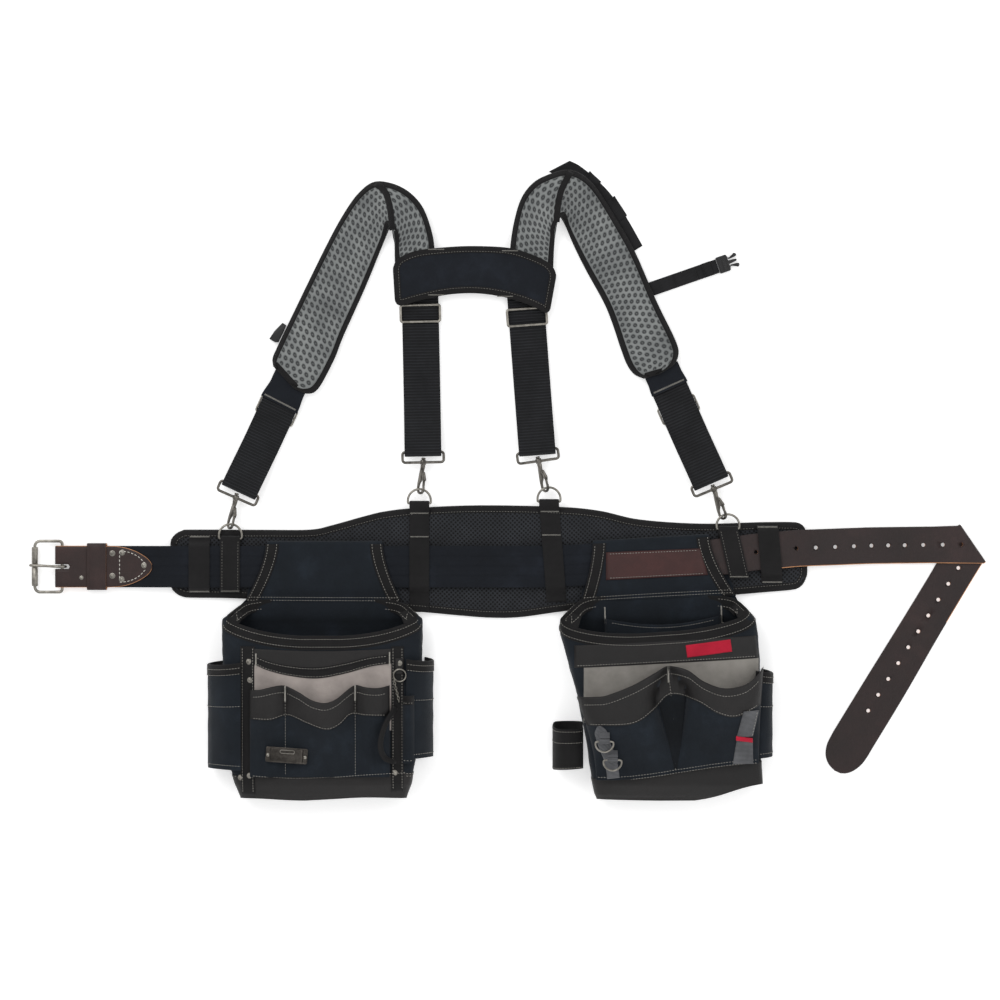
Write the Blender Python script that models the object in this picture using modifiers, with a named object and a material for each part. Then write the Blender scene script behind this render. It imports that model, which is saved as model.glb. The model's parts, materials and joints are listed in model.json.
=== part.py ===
"""Work belt with a padded back support, two tool pouches and clip-on suspenders, laid out flat.

Metres. +X runs along the belt towards the free end of the leather strap, +Y up the wearer's back,
+Z away from the surface that the belt lies on. The origin is at the middle of the footprint.
"""

import math

import bmesh
import bpy
from mathutils import Matrix, Vector

GAP = 0.0003

# Heights of the layers, from the surface up.
PAD_TOP = 0.010
SHEET = 0.0020
BELT_LOW = PAD_TOP + GAP + SHEET + GAP
BELT_THICK = 0.0045
BELT_TOP = BELT_LOW + BELT_THICK
STRIP = 0.0015
RING_Z = 0.0142

# The belt line.
BELT_Y = -0.1220
BELT_HALF = 0.0285
BELT_RIGHT = 0.228
DROOP_FROM = -0.470
DROOP_TO = -0.550
DROOP = 0.0063

# Buckle end.
LEATHER = 0.0029
TAB_HALF = 0.0288
BAR_X = -0.6175
BAR_Z = BELT_LOW - DROOP + BELT_THICK / 2
FOLD_X = -0.6225
FOLD_R = BELT_THICK / 2 + GAP + LEATHER / 2
FRAME_WIRE = 0.0021
FRAME_HALF = 0.0353
ROLLER_X = -0.6560
ROLLER_R = 0.0044

# Leather free end.
TAIL_HALF = 0.0254

# Rings, eyes and hooks of the suspenders.
RING_WIRE = 0.0016
RING_HALF = 0.0159
RING_RISE = 0.0198
EYE_WIRE = 0.0019
EYE_HALF = 0.0285
EYE_HEIGHT = 0.0145
HOOK_THICK = 0.0030
HOOK_ROLL = math.radians(54)
BOSS_R = 0.0042
BOSS_HOLE = 0.0021
POST_R = 0.0017

# Webbing of the suspenders.
WEB = 0.0016
WEB_HALF = 0.0254
WEB_LOW_Z = 0.0011
WEB_HIGH_Z = 0.0059
WEB_FOLD = 0.0023 + WEB / 2
WEB_RAMP = 0.075
SLIDER_WIRE = 0.00135
SLIDER_HALF = 0.0271
SLIDER_REACH = 0.0115
PAD_SOFT = 0.008

ROUND = 16


def clear_scene():
    for old in list(bpy.data.objects):
        bpy.data.objects.remove(old, do_unlink=True)


def collection(name):
    made = bpy.data.collections.new(name)
    bpy.context.scene.collection.children.link(made)
    return made


def material(name, colour, roughness, metallic=0.0):
    made = bpy.data.materials.new(name)
    made.use_nodes = True
    shader = made.node_tree.nodes["Principled BSDF"]
    shader.inputs["Base Color"].default_value = (*colour, 1.0)
    shader.inputs["Roughness"].default_value = roughness
    shader.inputs["Metallic"].default_value = metallic
    return made


clear_scene()
PARTS = collection("tool_belt")
CUTTERS = collection("cutters")
NAVY = material("navy_fabric", (0.014, 0.018, 0.023), 0.85)
BLACK = material("black_fabric", (0.010, 0.010, 0.011), 0.80)
MESH = material("grey_mesh", (0.20, 0.205, 0.205), 0.80)
WEBBING = material("black_webbing", (0.012, 0.012, 0.013), 0.70)
LEATHER_BROWN = material("brown_leather", (0.060, 0.032, 0.030), 0.50)
NICKEL = material("nickel", (0.42, 0.40, 0.36), 0.35, 1.0)
PLASTIC = material("black_plastic", (0.012, 0.012, 0.012), 0.45)


def in_parts(obj, look):
    obj.data.materials.append(look)
    PARTS.objects.link(obj)
    return obj


def mesh_object(name, bm, look):
    bmesh.ops.recalc_face_normals(bm, faces=bm.faces)
    mesh = bpy.data.meshes.new(name)
    bm.to_mesh(mesh)
    bm.free()
    return in_parts(bpy.data.objects.new(name, mesh), look)


def smooth(points, steps):
    """Points on a Catmull-Rom curve through the given ones, with the given steps between two."""
    points = [Vector(p) for p in points]
    ends = [2 * points[0] - points[1], *points, 2 * points[-1] - points[-2]]
    curve = []
    for a, b, c, d in zip(ends, ends[1:], ends[2:], ends[3:]):
        for step in range(steps):
            t = step / steps
            bend = (2 * a - 5 * b + 4 * c - d) * t * t + (3 * b - a - 3 * c + d) * t**3
            curve.append(0.5 * (2 * b + (c - a) * t + bend))
    return curve + [points[-1]]


def ease(t):
    t = min(max(t, 0.0), 1.0)
    return t * t * (3 - 2 * t)


def ribbon(name, left, right, thickness, look):
    """A strap with the given edges, thickened evenly to both sides."""
    bm = bmesh.new()
    rows = [(bm.verts.new(a), bm.verts.new(b)) for a, b in zip(left, right)]
    for (a, b), (c, d) in zip(rows, rows[1:]):
        bm.faces.new((a, b, d, c))
    obj = mesh_object(name, bm, look)
    shell = obj.modifiers.new("thickness", "SOLIDIFY")
    shell.thickness = thickness
    shell.offset = 0.0
    shell.use_even_offset = True
    return obj


def strip(name, path, across, half, thickness, look):
    """A ribbon of constant width along a path. The widths run along one direction."""
    side = Vector(across).normalized() * half
    path = [Vector(p) for p in path]
    return ribbon(name, [p - side for p in path], [p + side for p in path], thickness, look)


def wire(name, points, radius, look, closed=False, sides=2):
    curve = bpy.data.curves.new(name, "CURVE")
    curve.dimensions = "3D"
    spline = curve.splines.new("POLY")
    spline.points.add(len(points) - 1)
    for target, point in zip(spline.points, points):
        target.co = (*point, 1.0)
    spline.use_cyclic_u = closed
    curve.bevel_depth = radius
    curve.bevel_resolution = sides
    curve.use_fill_caps = not closed
    return in_parts(bpy.data.objects.new(name, curve), look)


def outline(name, points, thickness, look):
    curve = bpy.data.curves.new(name, "CURVE")
    curve.dimensions = "2D"
    curve.fill_mode = "BOTH"
    curve.extrude = thickness / 2
    spline = curve.splines.new("POLY")
    spline.points.add(len(points) - 1)
    for target, (x, y) in zip(spline.points, points):
        target.co = (x, y, 0.0, 1.0)
    spline.use_cyclic_u = True
    return in_parts(bpy.data.objects.new(name, curve), look)


def as_mesh(obj):
    """The curve object made a mesh object of the same name, with its caps welded."""
    bpy.context.view_layer.update()
    graph = bpy.context.evaluated_depsgraph_get()
    mesh = bpy.data.meshes.new_from_object(obj.evaluated_get(graph))
    bm = bmesh.new()
    bm.from_mesh(mesh)
    bmesh.ops.remove_doubles(bm, verts=bm.verts, dist=1e-6)
    bmesh.ops.recalc_face_normals(bm, faces=bm.faces)
    bm.to_mesh(mesh)
    bm.free()
    name = obj.name
    placed = obj.matrix_world.copy()
    look = obj.data.materials[0]
    bpy.data.objects.remove(obj, do_unlink=True)
    made = bpy.data.objects.new(name, mesh)
    made.matrix_world = placed
    mesh.materials.clear()
    return in_parts(made, look)


def cylinder(name, start, end, radius, look, sides=ROUND):
    """A round rod between two points."""
    start, end = Vector(start), Vector(end)
    bm = bmesh.new()
    length = (end - start).length
    bmesh.ops.create_cone(
        bm, cap_ends=True, segments=sides, radius1=radius, radius2=radius, depth=length
    )
    turn = (end - start).to_track_quat("Z", "Y").to_matrix().to_4x4()
    bmesh.ops.transform(bm, matrix=Matrix.Translation((start + end) / 2) @ turn, verts=bm.verts)
    return mesh_object(name, bm, look)


def box(name, low, high, look):
    bm = bmesh.new()
    low, high = Vector(low), Vector(high)
    bmesh.ops.create_cube(bm, size=1.0)
    bmesh.ops.scale(bm, vec=high - low, verts=bm.verts)
    bmesh.ops.translate(bm, vec=(low + high) / 2, verts=bm.verts)
    return mesh_object(name, bm, look)


def boolean(obj, other, operation):
    """Joins or cuts obj with a helper, which then leaves the render."""
    step = obj.modifiers.new(operation.lower(), "BOOLEAN")
    step.operation = operation
    step.object = other
    PARTS.objects.unlink(other)
    CUTTERS.objects.link(other)
    other.hide_render = True
    other.display_type = "WIRE"
    return obj


def sagging(x):
    """How far the belt has come down towards the surface, left of its pad."""
    return DROOP * ease((DROOP_FROM - x) / (DROOP_FROM - DROOP_TO))


# The belt and its pad.
def make_pad():
    top = [(-0.442, -0.0715), (-0.340, -0.0715), (-0.275, -0.0715), (-0.245, -0.0655)]
    top += [(-0.200, -0.0530), (-0.170, -0.0460), (-0.125, -0.0412), (-0.040, -0.0378)]
    top += [(0.071, -0.0400), (0.127, -0.0455), (0.182, -0.0575), (0.266, -0.0632), (0.392, -0.0610)]
    right = [(0.407, -0.0640), (0.4135, -0.0760), (0.4130, -0.1100), (0.4100, -0.1430), (0.398, -0.1530)]
    low = [(0.349, -0.1575), (0.250, -0.1660), (0.150, -0.1750), (0.071, -0.1840), (0.016, -0.1915)]
    low += [(-0.026, -0.1922), (-0.070, -0.1890), (-0.125, -0.1840), (-0.250, -0.1745), (-0.366, -0.1660)]
    left = [(-0.452, -0.1630), (-0.464, -0.1560), (-0.4680, -0.1450), (-0.4680, -0.0900), (-0.460, -0.0765)]
    pad = outline("belt_pad", top + right + low + left, PAD_TOP, NAVY)
    pad.location.z = PAD_TOP / 2


def belt_line(x):
    """The middle of the belt across, which rises a little towards the free end."""
    rise = [(-0.70, -0.1220), (0.05, -0.1220), (0.20, -0.1150), (0.277, -0.1105), (0.34, -0.1020)]
    rise += [(0.40, -0.0965), (0.50, -0.0930), (0.70, -0.0905)]
    for (a, low), (b, high) in zip(rise, rise[1:]):
        if x <= b:
            return low + (high - low) * (x - a) / (b - a)
    return rise[-1][1]


def make_belt_core():
    path = []
    for x in (-0.600, -0.575, -0.550, -0.530, -0.510, -0.490, -0.470, -0.30, 0.05, 0.12, 0.20, BELT_RIGHT):
        path.append((x, belt_line(x), BELT_LOW + BELT_THICK / 2 - sagging(x)))
    strip("belt_core", path, (0, 1, 0), BELT_HALF, BELT_THICK, NAVY)


def make_buckle_tab():
    """Leather folded round the buckle's bar. The top layer ends in a tongue shape."""
    left, right = [], []

    def station(x, z, half):
        left.append(Vector((x, BELT_Y - half, z)))
        right.append(Vector((x, BELT_Y + half, z)))

    for x in (-0.556, -0.585, -0.6105):
        station(x, BAR_Z - FOLD_R, TAB_HALF)
    for step in range(9):
        angle = -math.pi / 2 - math.pi * step / 8
        station(FOLD_X + FOLD_R * math.cos(angle), BAR_Z + FOLD_R * math.sin(angle), TAB_HALF)
    for x in (-0.6105, -0.585, -0.560):
        station(x, BAR_Z + FOLD_R, TAB_HALF)
    for x, half in ((-0.545, 0.0286), (-0.532, 0.0262), (-0.516, 0.0196), (-0.502, 0.0115), (-0.4935, 0.004)):
        station(x, BAR_Z + FOLD_R + DROOP - sagging(x), half)
    tab = ribbon("buckle_tab", left, right, LEATHER, LEATHER_BROWN)
    slot_half, slot_end = 0.0036, -0.6065
    slot = box(
        "tongue_slot",
        (-0.640, BELT_Y - slot_half, 0.0),
        (slot_end, BELT_Y + slot_half, 0.030),
        LEATHER_BROWN,
    )
    boolean(tab, slot, "DIFFERENCE")


def make_buckle():
    corner = 0.007
    points = [(BAR_X, BELT_Y - FRAME_HALF), (ROLLER_X + corner, BELT_Y - FRAME_HALF)]
    for step in (1, 2):
        angle = math.pi * step / 6
        x = ROLLER_X + corner * (1 - math.sin(angle))
        points.append((x, BELT_Y - FRAME_HALF + corner * (1 - math.cos(angle))))
    points.append((ROLLER_X, BELT_Y - FRAME_HALF + corner))
    mirrored = [(x, 2 * BELT_Y - y) for x, y in reversed(points)]
    frame = [(x, y, BAR_Z) for x, y in points + mirrored]
    wire("buckle_frame", frame, FRAME_WIRE, NICKEL, closed=True)
    roller = cylinder(
        "buckle_roller",
        (ROLLER_X, BELT_Y - 0.0270, BAR_Z),
        (ROLLER_X, BELT_Y + 0.0270, BAR_Z),
        ROLLER_R,
        NICKEL,
    )
    bore = cylinder(
        "roller_bore",
        (ROLLER_X, BELT_Y - 0.050, BAR_Z),
        (ROLLER_X, BELT_Y + 0.050, BAR_Z),
        FRAME_WIRE + 0.0004,
        NICKEL,
    )
    boolean(roller, bore, "DIFFERENCE")
    tongue = []
    ring = FRAME_WIRE + 0.0004 + 0.0019
    for step in range(9):
        angle = math.radians(-100 + 190 * step / 8)
        tongue.append((BAR_X + ring * math.cos(angle), BELT_Y, BAR_Z + ring * math.sin(angle)))
    over = BAR_Z + ROLLER_R + 0.0004 + 0.0019
    tongue += [(-0.628, BELT_Y + 0.0003, BAR_Z + 0.0052), (-0.640, BELT_Y + 0.001, over - 0.0005)]
    tongue += [(ROLLER_X + 0.004, BELT_Y + 0.0015, over), (ROLLER_X - 0.0072, BELT_Y + 0.002, over)]
    wire("buckle_tongue", tongue, 0.0019, NICKEL)


def make_keeper():
    """A closed leather loop round the folded tab."""
    thick = 0.0024
    half = TAB_HALF + 0.0014 + thick / 2
    low = BAR_Z - FOLD_R - LEATHER / 2 - 0.0004 - thick / 2
    high = BAR_Z + FOLD_R + LEATHER / 2 + 0.0004 + thick / 2
    ends = (-0.5830, -0.5565)
    cut = 0.0012
    section = [(-half, low + cut), (-half, high - cut), (-half + cut, high), (half - cut, high)]
    section += [(half, high - cut), (half, low + cut), (half - cut, low), (-half + cut, low)]
    bm = bmesh.new()
    rows = [[bm.verts.new((x, BELT_Y + y, z)) for y, z in section] for x in ends]
    count = len(section)
    for i in range(count):
        j = (i + 1) % count
        bm.faces.new((rows[0][i], rows[0][j], rows[1][j], rows[1][i]))
    keeper = mesh_object("belt_keeper", bm, LEATHER_BROWN)
    shell = keeper.modifiers.new("thickness", "SOLIDIFY")
    shell.thickness = thick
    shell.offset = 0.0
    shell.use_even_offset = True


def tail_height(x):
    """The middle of the leather, level over the pad, then down to the surface past its end."""
    over_pad = BELT_LOW + BELT_THICK / 2 - 0.0004
    on_surface = 0.0023 + 2 * 0.0020
    return over_pad + (on_surface - over_pad) * ease((x - 0.415) / 0.110)


FOLD_HIGH = Vector((0.6250, -0.0640, 0))
FOLD_LOW = Vector((0.6610, -0.1165, 0))


def make_tail():
    """The free end runs to the right, folds under at a slant, and lies back along the surface."""
    thick = 0.0028
    left, right = [], []
    for x in (BELT_RIGHT + 0.0020, 0.277, 0.310, 0.340, 0.370, 0.400, 0.430, 0.460, 0.500, 0.540, 0.590):
        tilt = math.atan2(belt_line(x + 0.02) - belt_line(x - 0.02), 0.04)
        middle = Vector((x, belt_line(x), tail_height(x)))
        side = Vector((-math.sin(tilt), math.cos(tilt), 0)) * TAIL_HALF
        left.append(middle - side)
        right.append(middle + side)
    top = tail_height(0.590)
    low = thick / 2 + 0.0002
    middle = (top + low) / 2
    radius = (top - low) / 2
    crease = (FOLD_HIGH - FOLD_LOW).normalized()
    out = Vector((crease.y, -crease.x, 0))
    for step in range(7):
        angle = math.pi / 2 - math.pi * step / 6
        push = out * (radius * math.cos(angle) - radius)
        lift = Vector((0, 0, middle + radius * math.sin(angle)))
        left.append(FOLD_LOW + push + lift)
        right.append(FOLD_HIGH + push + lift)
    ends = [(0.5930, -0.1190, 0.6540, -0.1230), (0.5500, -0.1900, 0.6000, -0.2130)]
    ends += [(0.5010, -0.2690, 0.5510, -0.2980), (0.4580, -0.3390, 0.5080, -0.3690)]
    ends += [(0.4400, -0.3700, 0.4900, -0.3960), (0.4390, -0.3880, 0.4790, -0.4060)]
    ends += [(0.4470, -0.4020, 0.4640, -0.4090)]
    for ax, ay, bx, by in ends:
        right.append(Vector((ax, ay, low)))
        left.append(Vector((bx, by, low)))
    return ribbon("belt_tail", left, right, thick, LEATHER_BROWN)


# Strips round the belt.
def strip_height(y, low, high, upper, lower):
    """The height of a strip that lies on the pad and climbs over the belt between its two edges."""
    if y > upper:
        return high + (low - high) * min(max((y - upper - 0.001) / 0.008, 0), 1)
    return high + (low - high) * min(max((lower - 0.001 - y) / 0.008, 0), 1)


def over_belt(x_top, y_top, x_low, y_low):
    low = PAD_TOP + GAP + STRIP / 2
    high = BELT_TOP + GAP + STRIP / 2
    upper, lower = belt_line(x_top) + BELT_HALF, belt_line(x_top) - BELT_HALF
    bends = [y for y in (upper + 0.009, upper + 0.001, lower - 0.001, lower - 0.009) if y_low < y < y_top]
    path = []
    for y in [y_top, *bends, y_low]:
        x = x_top + (x_low - x_top) * (y_top - y) / (y_top - y_low)
        path.append(Vector((x, y, strip_height(y, low, high, upper, lower))))
    return path


def make_plain_loop(name, x_top, y_top, x_low, y_low, half):
    strip(name, over_belt(x_top, y_top, x_low, y_low), (1, 0, 0), half, STRIP, BLACK)


def make_ring_loop(name, ring_x, bar_y, x_low, y_low, half):
    """The strip's top end is folded under, round the bar of a D-ring."""
    radius = RING_WIRE + 0.0007 + STRIP / 2
    tail = max(bar_y - 0.016, belt_line(ring_x) + BELT_HALF + 0.001)
    path = [Vector((ring_x, tail, RING_Z - radius))]
    for step in range(7):
        angle = -math.pi / 2 + math.pi * step / 6
        path.append(Vector((ring_x, bar_y + radius * math.cos(angle), RING_Z + radius * math.sin(angle))))
    upper, lower = belt_line(ring_x) + BELT_HALF, belt_line(ring_x) - BELT_HALF
    low = PAD_TOP + GAP + STRIP / 2
    high = BELT_TOP + GAP + STRIP / 2
    for y in (upper + 0.001, lower - 0.001, lower - 0.009, y_low):
        if y < y_low or y >= bar_y:
            continue
        x = ring_x + (x_low - ring_x) * (bar_y - y) / (bar_y - y_low)
        path.append(Vector((x, y, strip_height(y, low, high, upper, lower))))
    strip(name, path, (1, 0, 0), half, STRIP, BLACK)


def make_ring(name, x, bar_y):
    points = []
    for step in range(11):
        angle = math.pi * step / 10
        points.append(
            (x + RING_HALF * math.cos(angle), bar_y + 0.004 + (RING_RISE - 0.004) * math.sin(angle), RING_Z)
        )
    points += [(x - RING_HALF, bar_y + 0.001, RING_Z), (x - RING_HALF + 0.0015, bar_y, RING_Z)]
    points += [(x + RING_HALF - 0.0015, bar_y, RING_Z), (x + RING_HALF, bar_y + 0.001, RING_Z)]
    wire(name, points, RING_WIRE, NICKEL, closed=True)


# Hooks.
def hook_frame(eye, ring_point):
    """Axes at the eye's lower bar: local X across the hook, local Y along it, turned by the hook's roll."""
    along = (ring_point - eye).normalized()
    across = Vector((0, 0, 1)).cross(along)
    turned = across * math.cos(HOOK_ROLL) + Vector((0, 0, math.sin(HOOK_ROLL)))
    other = turned.cross(along)
    axes = Matrix((turned, along, other)).transposed().to_4x4()
    return Matrix.Translation(eye) @ axes


HOOK_LOOP = Vector((0.0, 0.0364))
HOOK_INNER = 0.0049
HOOK_OUTER = 0.0081


def hook_outline():
    """Tapered body whose left side runs on into an open hook."""
    points = [(-0.0028, 0.0040), (0.0028, 0.0040), (0.0030, 0.0120), (0.0020, 0.0140), (0.0018, 0.0165)]
    opening = []
    for step in range(10):
        angle = math.radians(-130 - 240 * step / 9)
        opening.append(
            (HOOK_LOOP.x + HOOK_INNER * math.cos(angle), HOOK_LOOP.y + HOOK_INNER * math.sin(angle))
        )
    opening = [p for p in opening if p[1] > 0.0325]
    points += [(-0.0002, 0.0260), (-0.0012, 0.0274), (-0.0036, 0.0302)]
    points += opening
    tip_y = 0.0345
    points[-1] = (HOOK_LOOP.x + HOOK_INNER, tip_y)
    points.append((HOOK_LOOP.x + HOOK_OUTER, tip_y))
    for step in range(9):
        angle = math.pi * step / 8
        points.append(
            (HOOK_LOOP.x + HOOK_OUTER * math.cos(angle), HOOK_LOOP.y + HOOK_OUTER * math.sin(angle))
        )
    points += [(-0.0079, 0.0290), (-0.0062, 0.0180)]
    return points


def make_hook(name, frame):
    body = as_mesh(outline(name, hook_outline(), HOOK_THICK, NICKEL))
    post = cylinder("post", (0, -0.0062, 0), (0, 0.0075, 0), POST_R, NICKEL, sides=10)
    knob = cylinder("knob", (0, -0.0063, 0), (0, -0.0036, 0), 0.0030, NICKEL, sides=10)
    collar = cylinder("collar", (0, 0.0036, 0), (0, 0.0080, 0), 0.0033, NICKEL, sides=10)
    for other in (post, knob, collar):
        other.name = f"{name}_{other.name}"
        boolean(body, other, "UNION")
        other.matrix_world = frame
    body.matrix_world = frame
    return body


def make_trigger(name, frame):
    points = [(0.0024, 0.0146), (0.0042, 0.0128), (0.0062, 0.0150), (0.0100, 0.0235), (0.0100, 0.0248)]
    points += [(0.0078, 0.0256), (0.0076, 0.0338), (0.0048, 0.0338), (0.0046, 0.0262), (0.0024, 0.0250)]
    trigger = outline(name, points, 0.0028, NICKEL)
    trigger.matrix_world = frame


def make_eye(name, eye, up, hook):
    """A rectangular wire loop with a boss on its lower bar, bored for the hook's post."""
    up = Vector((up[0], up[1], 0)).normalized()
    side = Vector((up.y, -up.x, 0))
    corner = 0.004
    points = []
    for across, along, start in ((1, 0, -90), (1, 1, 0), (-1, 1, 90), (-1, 0, 180)):
        height = EYE_HEIGHT - corner if along else corner
        centre = eye + side * across * (EYE_HALF - corner) + up * height
        for step in range(3):
            angle = math.radians(start + 45 * step)
            points.append(centre + side * corner * math.cos(angle) + up * corner * math.sin(angle))
    loop = as_mesh(wire(name, points, EYE_WIRE, NICKEL, closed=True))
    axis = hook.to_3x3() @ Vector((0, 1, 0))
    boss = cylinder(name + "_boss", eye - axis * 0.0032, eye + axis * 0.0032, BOSS_R, NICKEL, sides=12)
    bore = cylinder(name + "_bore", eye - axis * 0.0100, eye + axis * 0.0100, BOSS_HOLE, NICKEL, sides=12)
    boolean(loop, boss, "UNION")
    boolean(loop, bore, "DIFFERENCE")


# Webbing of the suspenders.
def web_path(bar, up, length, back_length):
    """Up the strap from the eye's bar: the lower layer's end first, round the bar, then the upper layer."""
    up = Vector((up[0], up[1], 0)).normalized()

    def at(distance, z):
        place = bar + up * distance
        return Vector((place.x, place.y, z))

    def high(distance):
        return WEB_HIGH_Z + (RING_Z + WEB_FOLD - WEB_HIGH_Z) * ease(1 - distance / WEB_RAMP)

    def low(distance):
        return WEB_LOW_Z + (RING_Z - WEB_FOLD - WEB_LOW_Z) * ease(1 - distance / WEB_RAMP)

    ramp = [WEB_RAMP * k / 5 for k in range(1, 6)]
    path = [at(back_length, low(back_length))]
    path += [at(distance, low(distance)) for distance in reversed(ramp)]
    start = -0.0025
    for step in range(7):
        angle = -math.pi / 2 - math.pi * step / 6
        path.append(at(start + WEB_FOLD * math.cos(angle), RING_Z + WEB_FOLD * math.sin(angle)))
    path += [at(distance, high(distance)) for distance in ramp]
    path.append(at(length, high(length)))
    return path


def make_webbing(name, bar, up, length, back_length):
    side = (up[1], -up[0], 0)
    strip(name, web_path(bar, up, length, back_length), side, WEB_HALF, WEB, WEBBING)


def make_slider(name, centre, up, proud):
    """A wire frame with a cross bar. A proud one has its outer bars over the upper layer of webbing."""
    up = Vector((up[0], up[1], 0)).normalized()
    side = Vector((up.y, -up.x, 0))
    between = (WEB_LOW_Z + WEB_HIGH_Z) / 2
    top = WEB_HIGH_Z + WEB / 2 + GAP + SLIDER_WIRE if proud else between
    corner = 0.003
    points = []
    for across, along, start in ((1, -1, -90), (1, 1, 0), (-1, 1, 90), (-1, -1, 180)):
        middle = centre + side * across * (SLIDER_HALF - corner) + up * along * (SLIDER_REACH - corner)
        for step in range(3):
            angle = math.radians(start + 45 * step)
            spot = middle + side * corner * math.cos(angle) + up * corner * math.sin(angle)
            points.append((spot.x, spot.y, top))
    frame = as_mesh(wire(name, points, SLIDER_WIRE, NICKEL, closed=True))
    ends = [centre - side * SLIDER_HALF, centre + side * SLIDER_HALF]
    bar = [(ends[0].x, ends[0].y, between), (ends[1].x, ends[1].y, between)]
    if proud:
        bar = [(ends[0].x, ends[0].y, top), *bar, (ends[1].x, ends[1].y, top)]
    cross = as_mesh(wire(name + "_bar", bar, SLIDER_WIRE * 0.95, NICKEL))
    boolean(frame, cross, "UNION")


def make_shoulder_pad(name, outer, inner):
    left = smooth(outer, 3)
    right = smooth(inner, 3)
    ribbon(name, left, right, PAD_SOFT, MESH)


# Pouches.
def bag(name, rows, wall, look, count=20, power=4.0):
    """An open shell lofted from its closed bottom to its mouth.

    Each row is (y, low x, high x, low z, high z, lean), where lean shifts y at the top of the section.
    """
    bm = bmesh.new()
    rings = []
    for y, x0, x1, z0, z1, lean in rows:
        ring = []
        for step in range(count):
            angle = 2 * math.pi * (step + 0.5) / count
            c, s = math.cos(angle), math.sin(angle)
            x = (x0 + x1) / 2 + (x1 - x0) / 2 * math.copysign(abs(c) ** (2 / power), c)
            z = (z0 + z1) / 2 + (z1 - z0) / 2 * math.copysign(abs(s) ** (2 / power), s)
            ring.append(bm.verts.new((x, y + lean * (z - z0) / (z1 - z0), z)))
        rings.append(ring)
    for first, second in zip(rings, rings[1:]):
        for i in range(count):
            j = (i + 1) % count
            bm.faces.new((first[i], first[j], second[j], second[i]))
    bm.faces.new(rings[0])
    obj = mesh_object(name, bm, look)
    shell = obj.modifiers.new("thickness", "SOLIDIFY")
    shell.thickness = wall
    shell.offset = -1.0
    shell.use_even_offset = True
    return obj


def make_tunnel(
    name, top_left, top_right, seam_left, seam_right, back_left, back_right, top_y, seam_y, back_y
):
    """Panel folded over the belt: back layer between pad and belt, fold at the top, front layer."""
    low = PAD_TOP + GAP + SHEET / 2
    high = BELT_TOP + GAP + SHEET / 2
    middle = (low + high) / 2
    radius = (high - low) / 2
    fold_y = top_y - radius
    left, right = [], []

    def station(y, z, t):
        left.append(Vector((top_left + (seam_left - top_left) * t, y, z)))
        right.append(Vector((top_right + (seam_right - top_right) * t, y, z)))

    left.append(Vector((back_left, back_y, 0.0042)))
    right.append(Vector((back_right, back_y, 0.0042)))
    drop = back_y + 0.006
    left.append(Vector((back_left + (seam_left - back_left) * 0.3, drop, low)))
    right.append(Vector((back_right + (seam_right - back_right) * 0.3, drop, low)))
    station(seam_y, low, 1.0)
    station(fold_y, low, 0.06)
    for step in range(1, 6):
        angle = -math.pi / 2 + math.pi * step / 6
        station(fold_y + radius * math.cos(angle), middle + radius * math.sin(angle), 0.0)
    station(fold_y, high, 0.06)
    station(BELT_Y - BELT_HALF - 0.001, high, 0.85)
    station(seam_y, high - 0.0030, 1.0)
    return ribbon(name, left, right, SHEET, NAVY)


# The suspenders: where each strap's eye is, which way the strap goes up, and which ring its hook holds.
HARNESS = {
    "front_left": dict(
        eye=(-0.3770, -0.0267), eye_up=(0.400, 0.9165), up=(0.4214, 0.9069), ring_x=-0.3847, bar_y=-0.0831,
        catch=(-0.3847, -0.0633), length=0.180, back=0.115, slider=0.118, proud=False,
    ),
    "back_left": dict(
        eye=(-0.1180, 0.0222), eye_up=(-0.020, 1.0), up=(-0.0200, 0.9998), ring_x=-0.1233, bar_y=-0.0346,
        catch=(-0.1215, -0.0148), length=0.226, back=0.176, slider=0.192, proud=True,
    ),
    "back_right": dict(
        eye=(0.0416, 0.0240), eye_up=(-0.140, 0.99), up=(-0.0752, 0.9972), ring_x=0.0560, bar_y=-0.0322,
        catch=(0.0508, -0.0126), length=0.226, back=0.172, slider=0.186, proud=True,
    ),
    "front_right": dict(
        eye=(0.2840, -0.0148), eye_up=(-0.383, 0.924), up=(-0.4019, 0.9157), ring_x=0.3035, bar_y=-0.0694,
        catch=(0.2960, -0.0497), length=0.168, back=0.103, slider=0.106, proud=False,
    ),
}


def make_suspender(side, spec):
    eye = Vector((*spec["eye"], RING_Z))
    eye_up = Vector((*spec["eye_up"], 0)).normalized()
    up = Vector((*spec["up"], 0)).normalized()
    bar = eye + eye_up * EYE_HEIGHT
    frame = hook_frame(eye, Vector((*spec["catch"], RING_Z)))
    make_ring(f"{side}_d_ring", spec["ring_x"], spec["bar_y"])
    make_eye(f"{side}_swivel_eye", eye, eye_up, frame)
    make_hook(f"{side}_hook", frame)
    make_trigger(f"{side}_trigger", frame)
    make_webbing(f"{side}_webbing", bar, up, spec["length"], spec["back"])
    middle = bar + up * spec["slider"]
    make_slider(f"{side}_slider", middle, up, spec["proud"])


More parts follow.
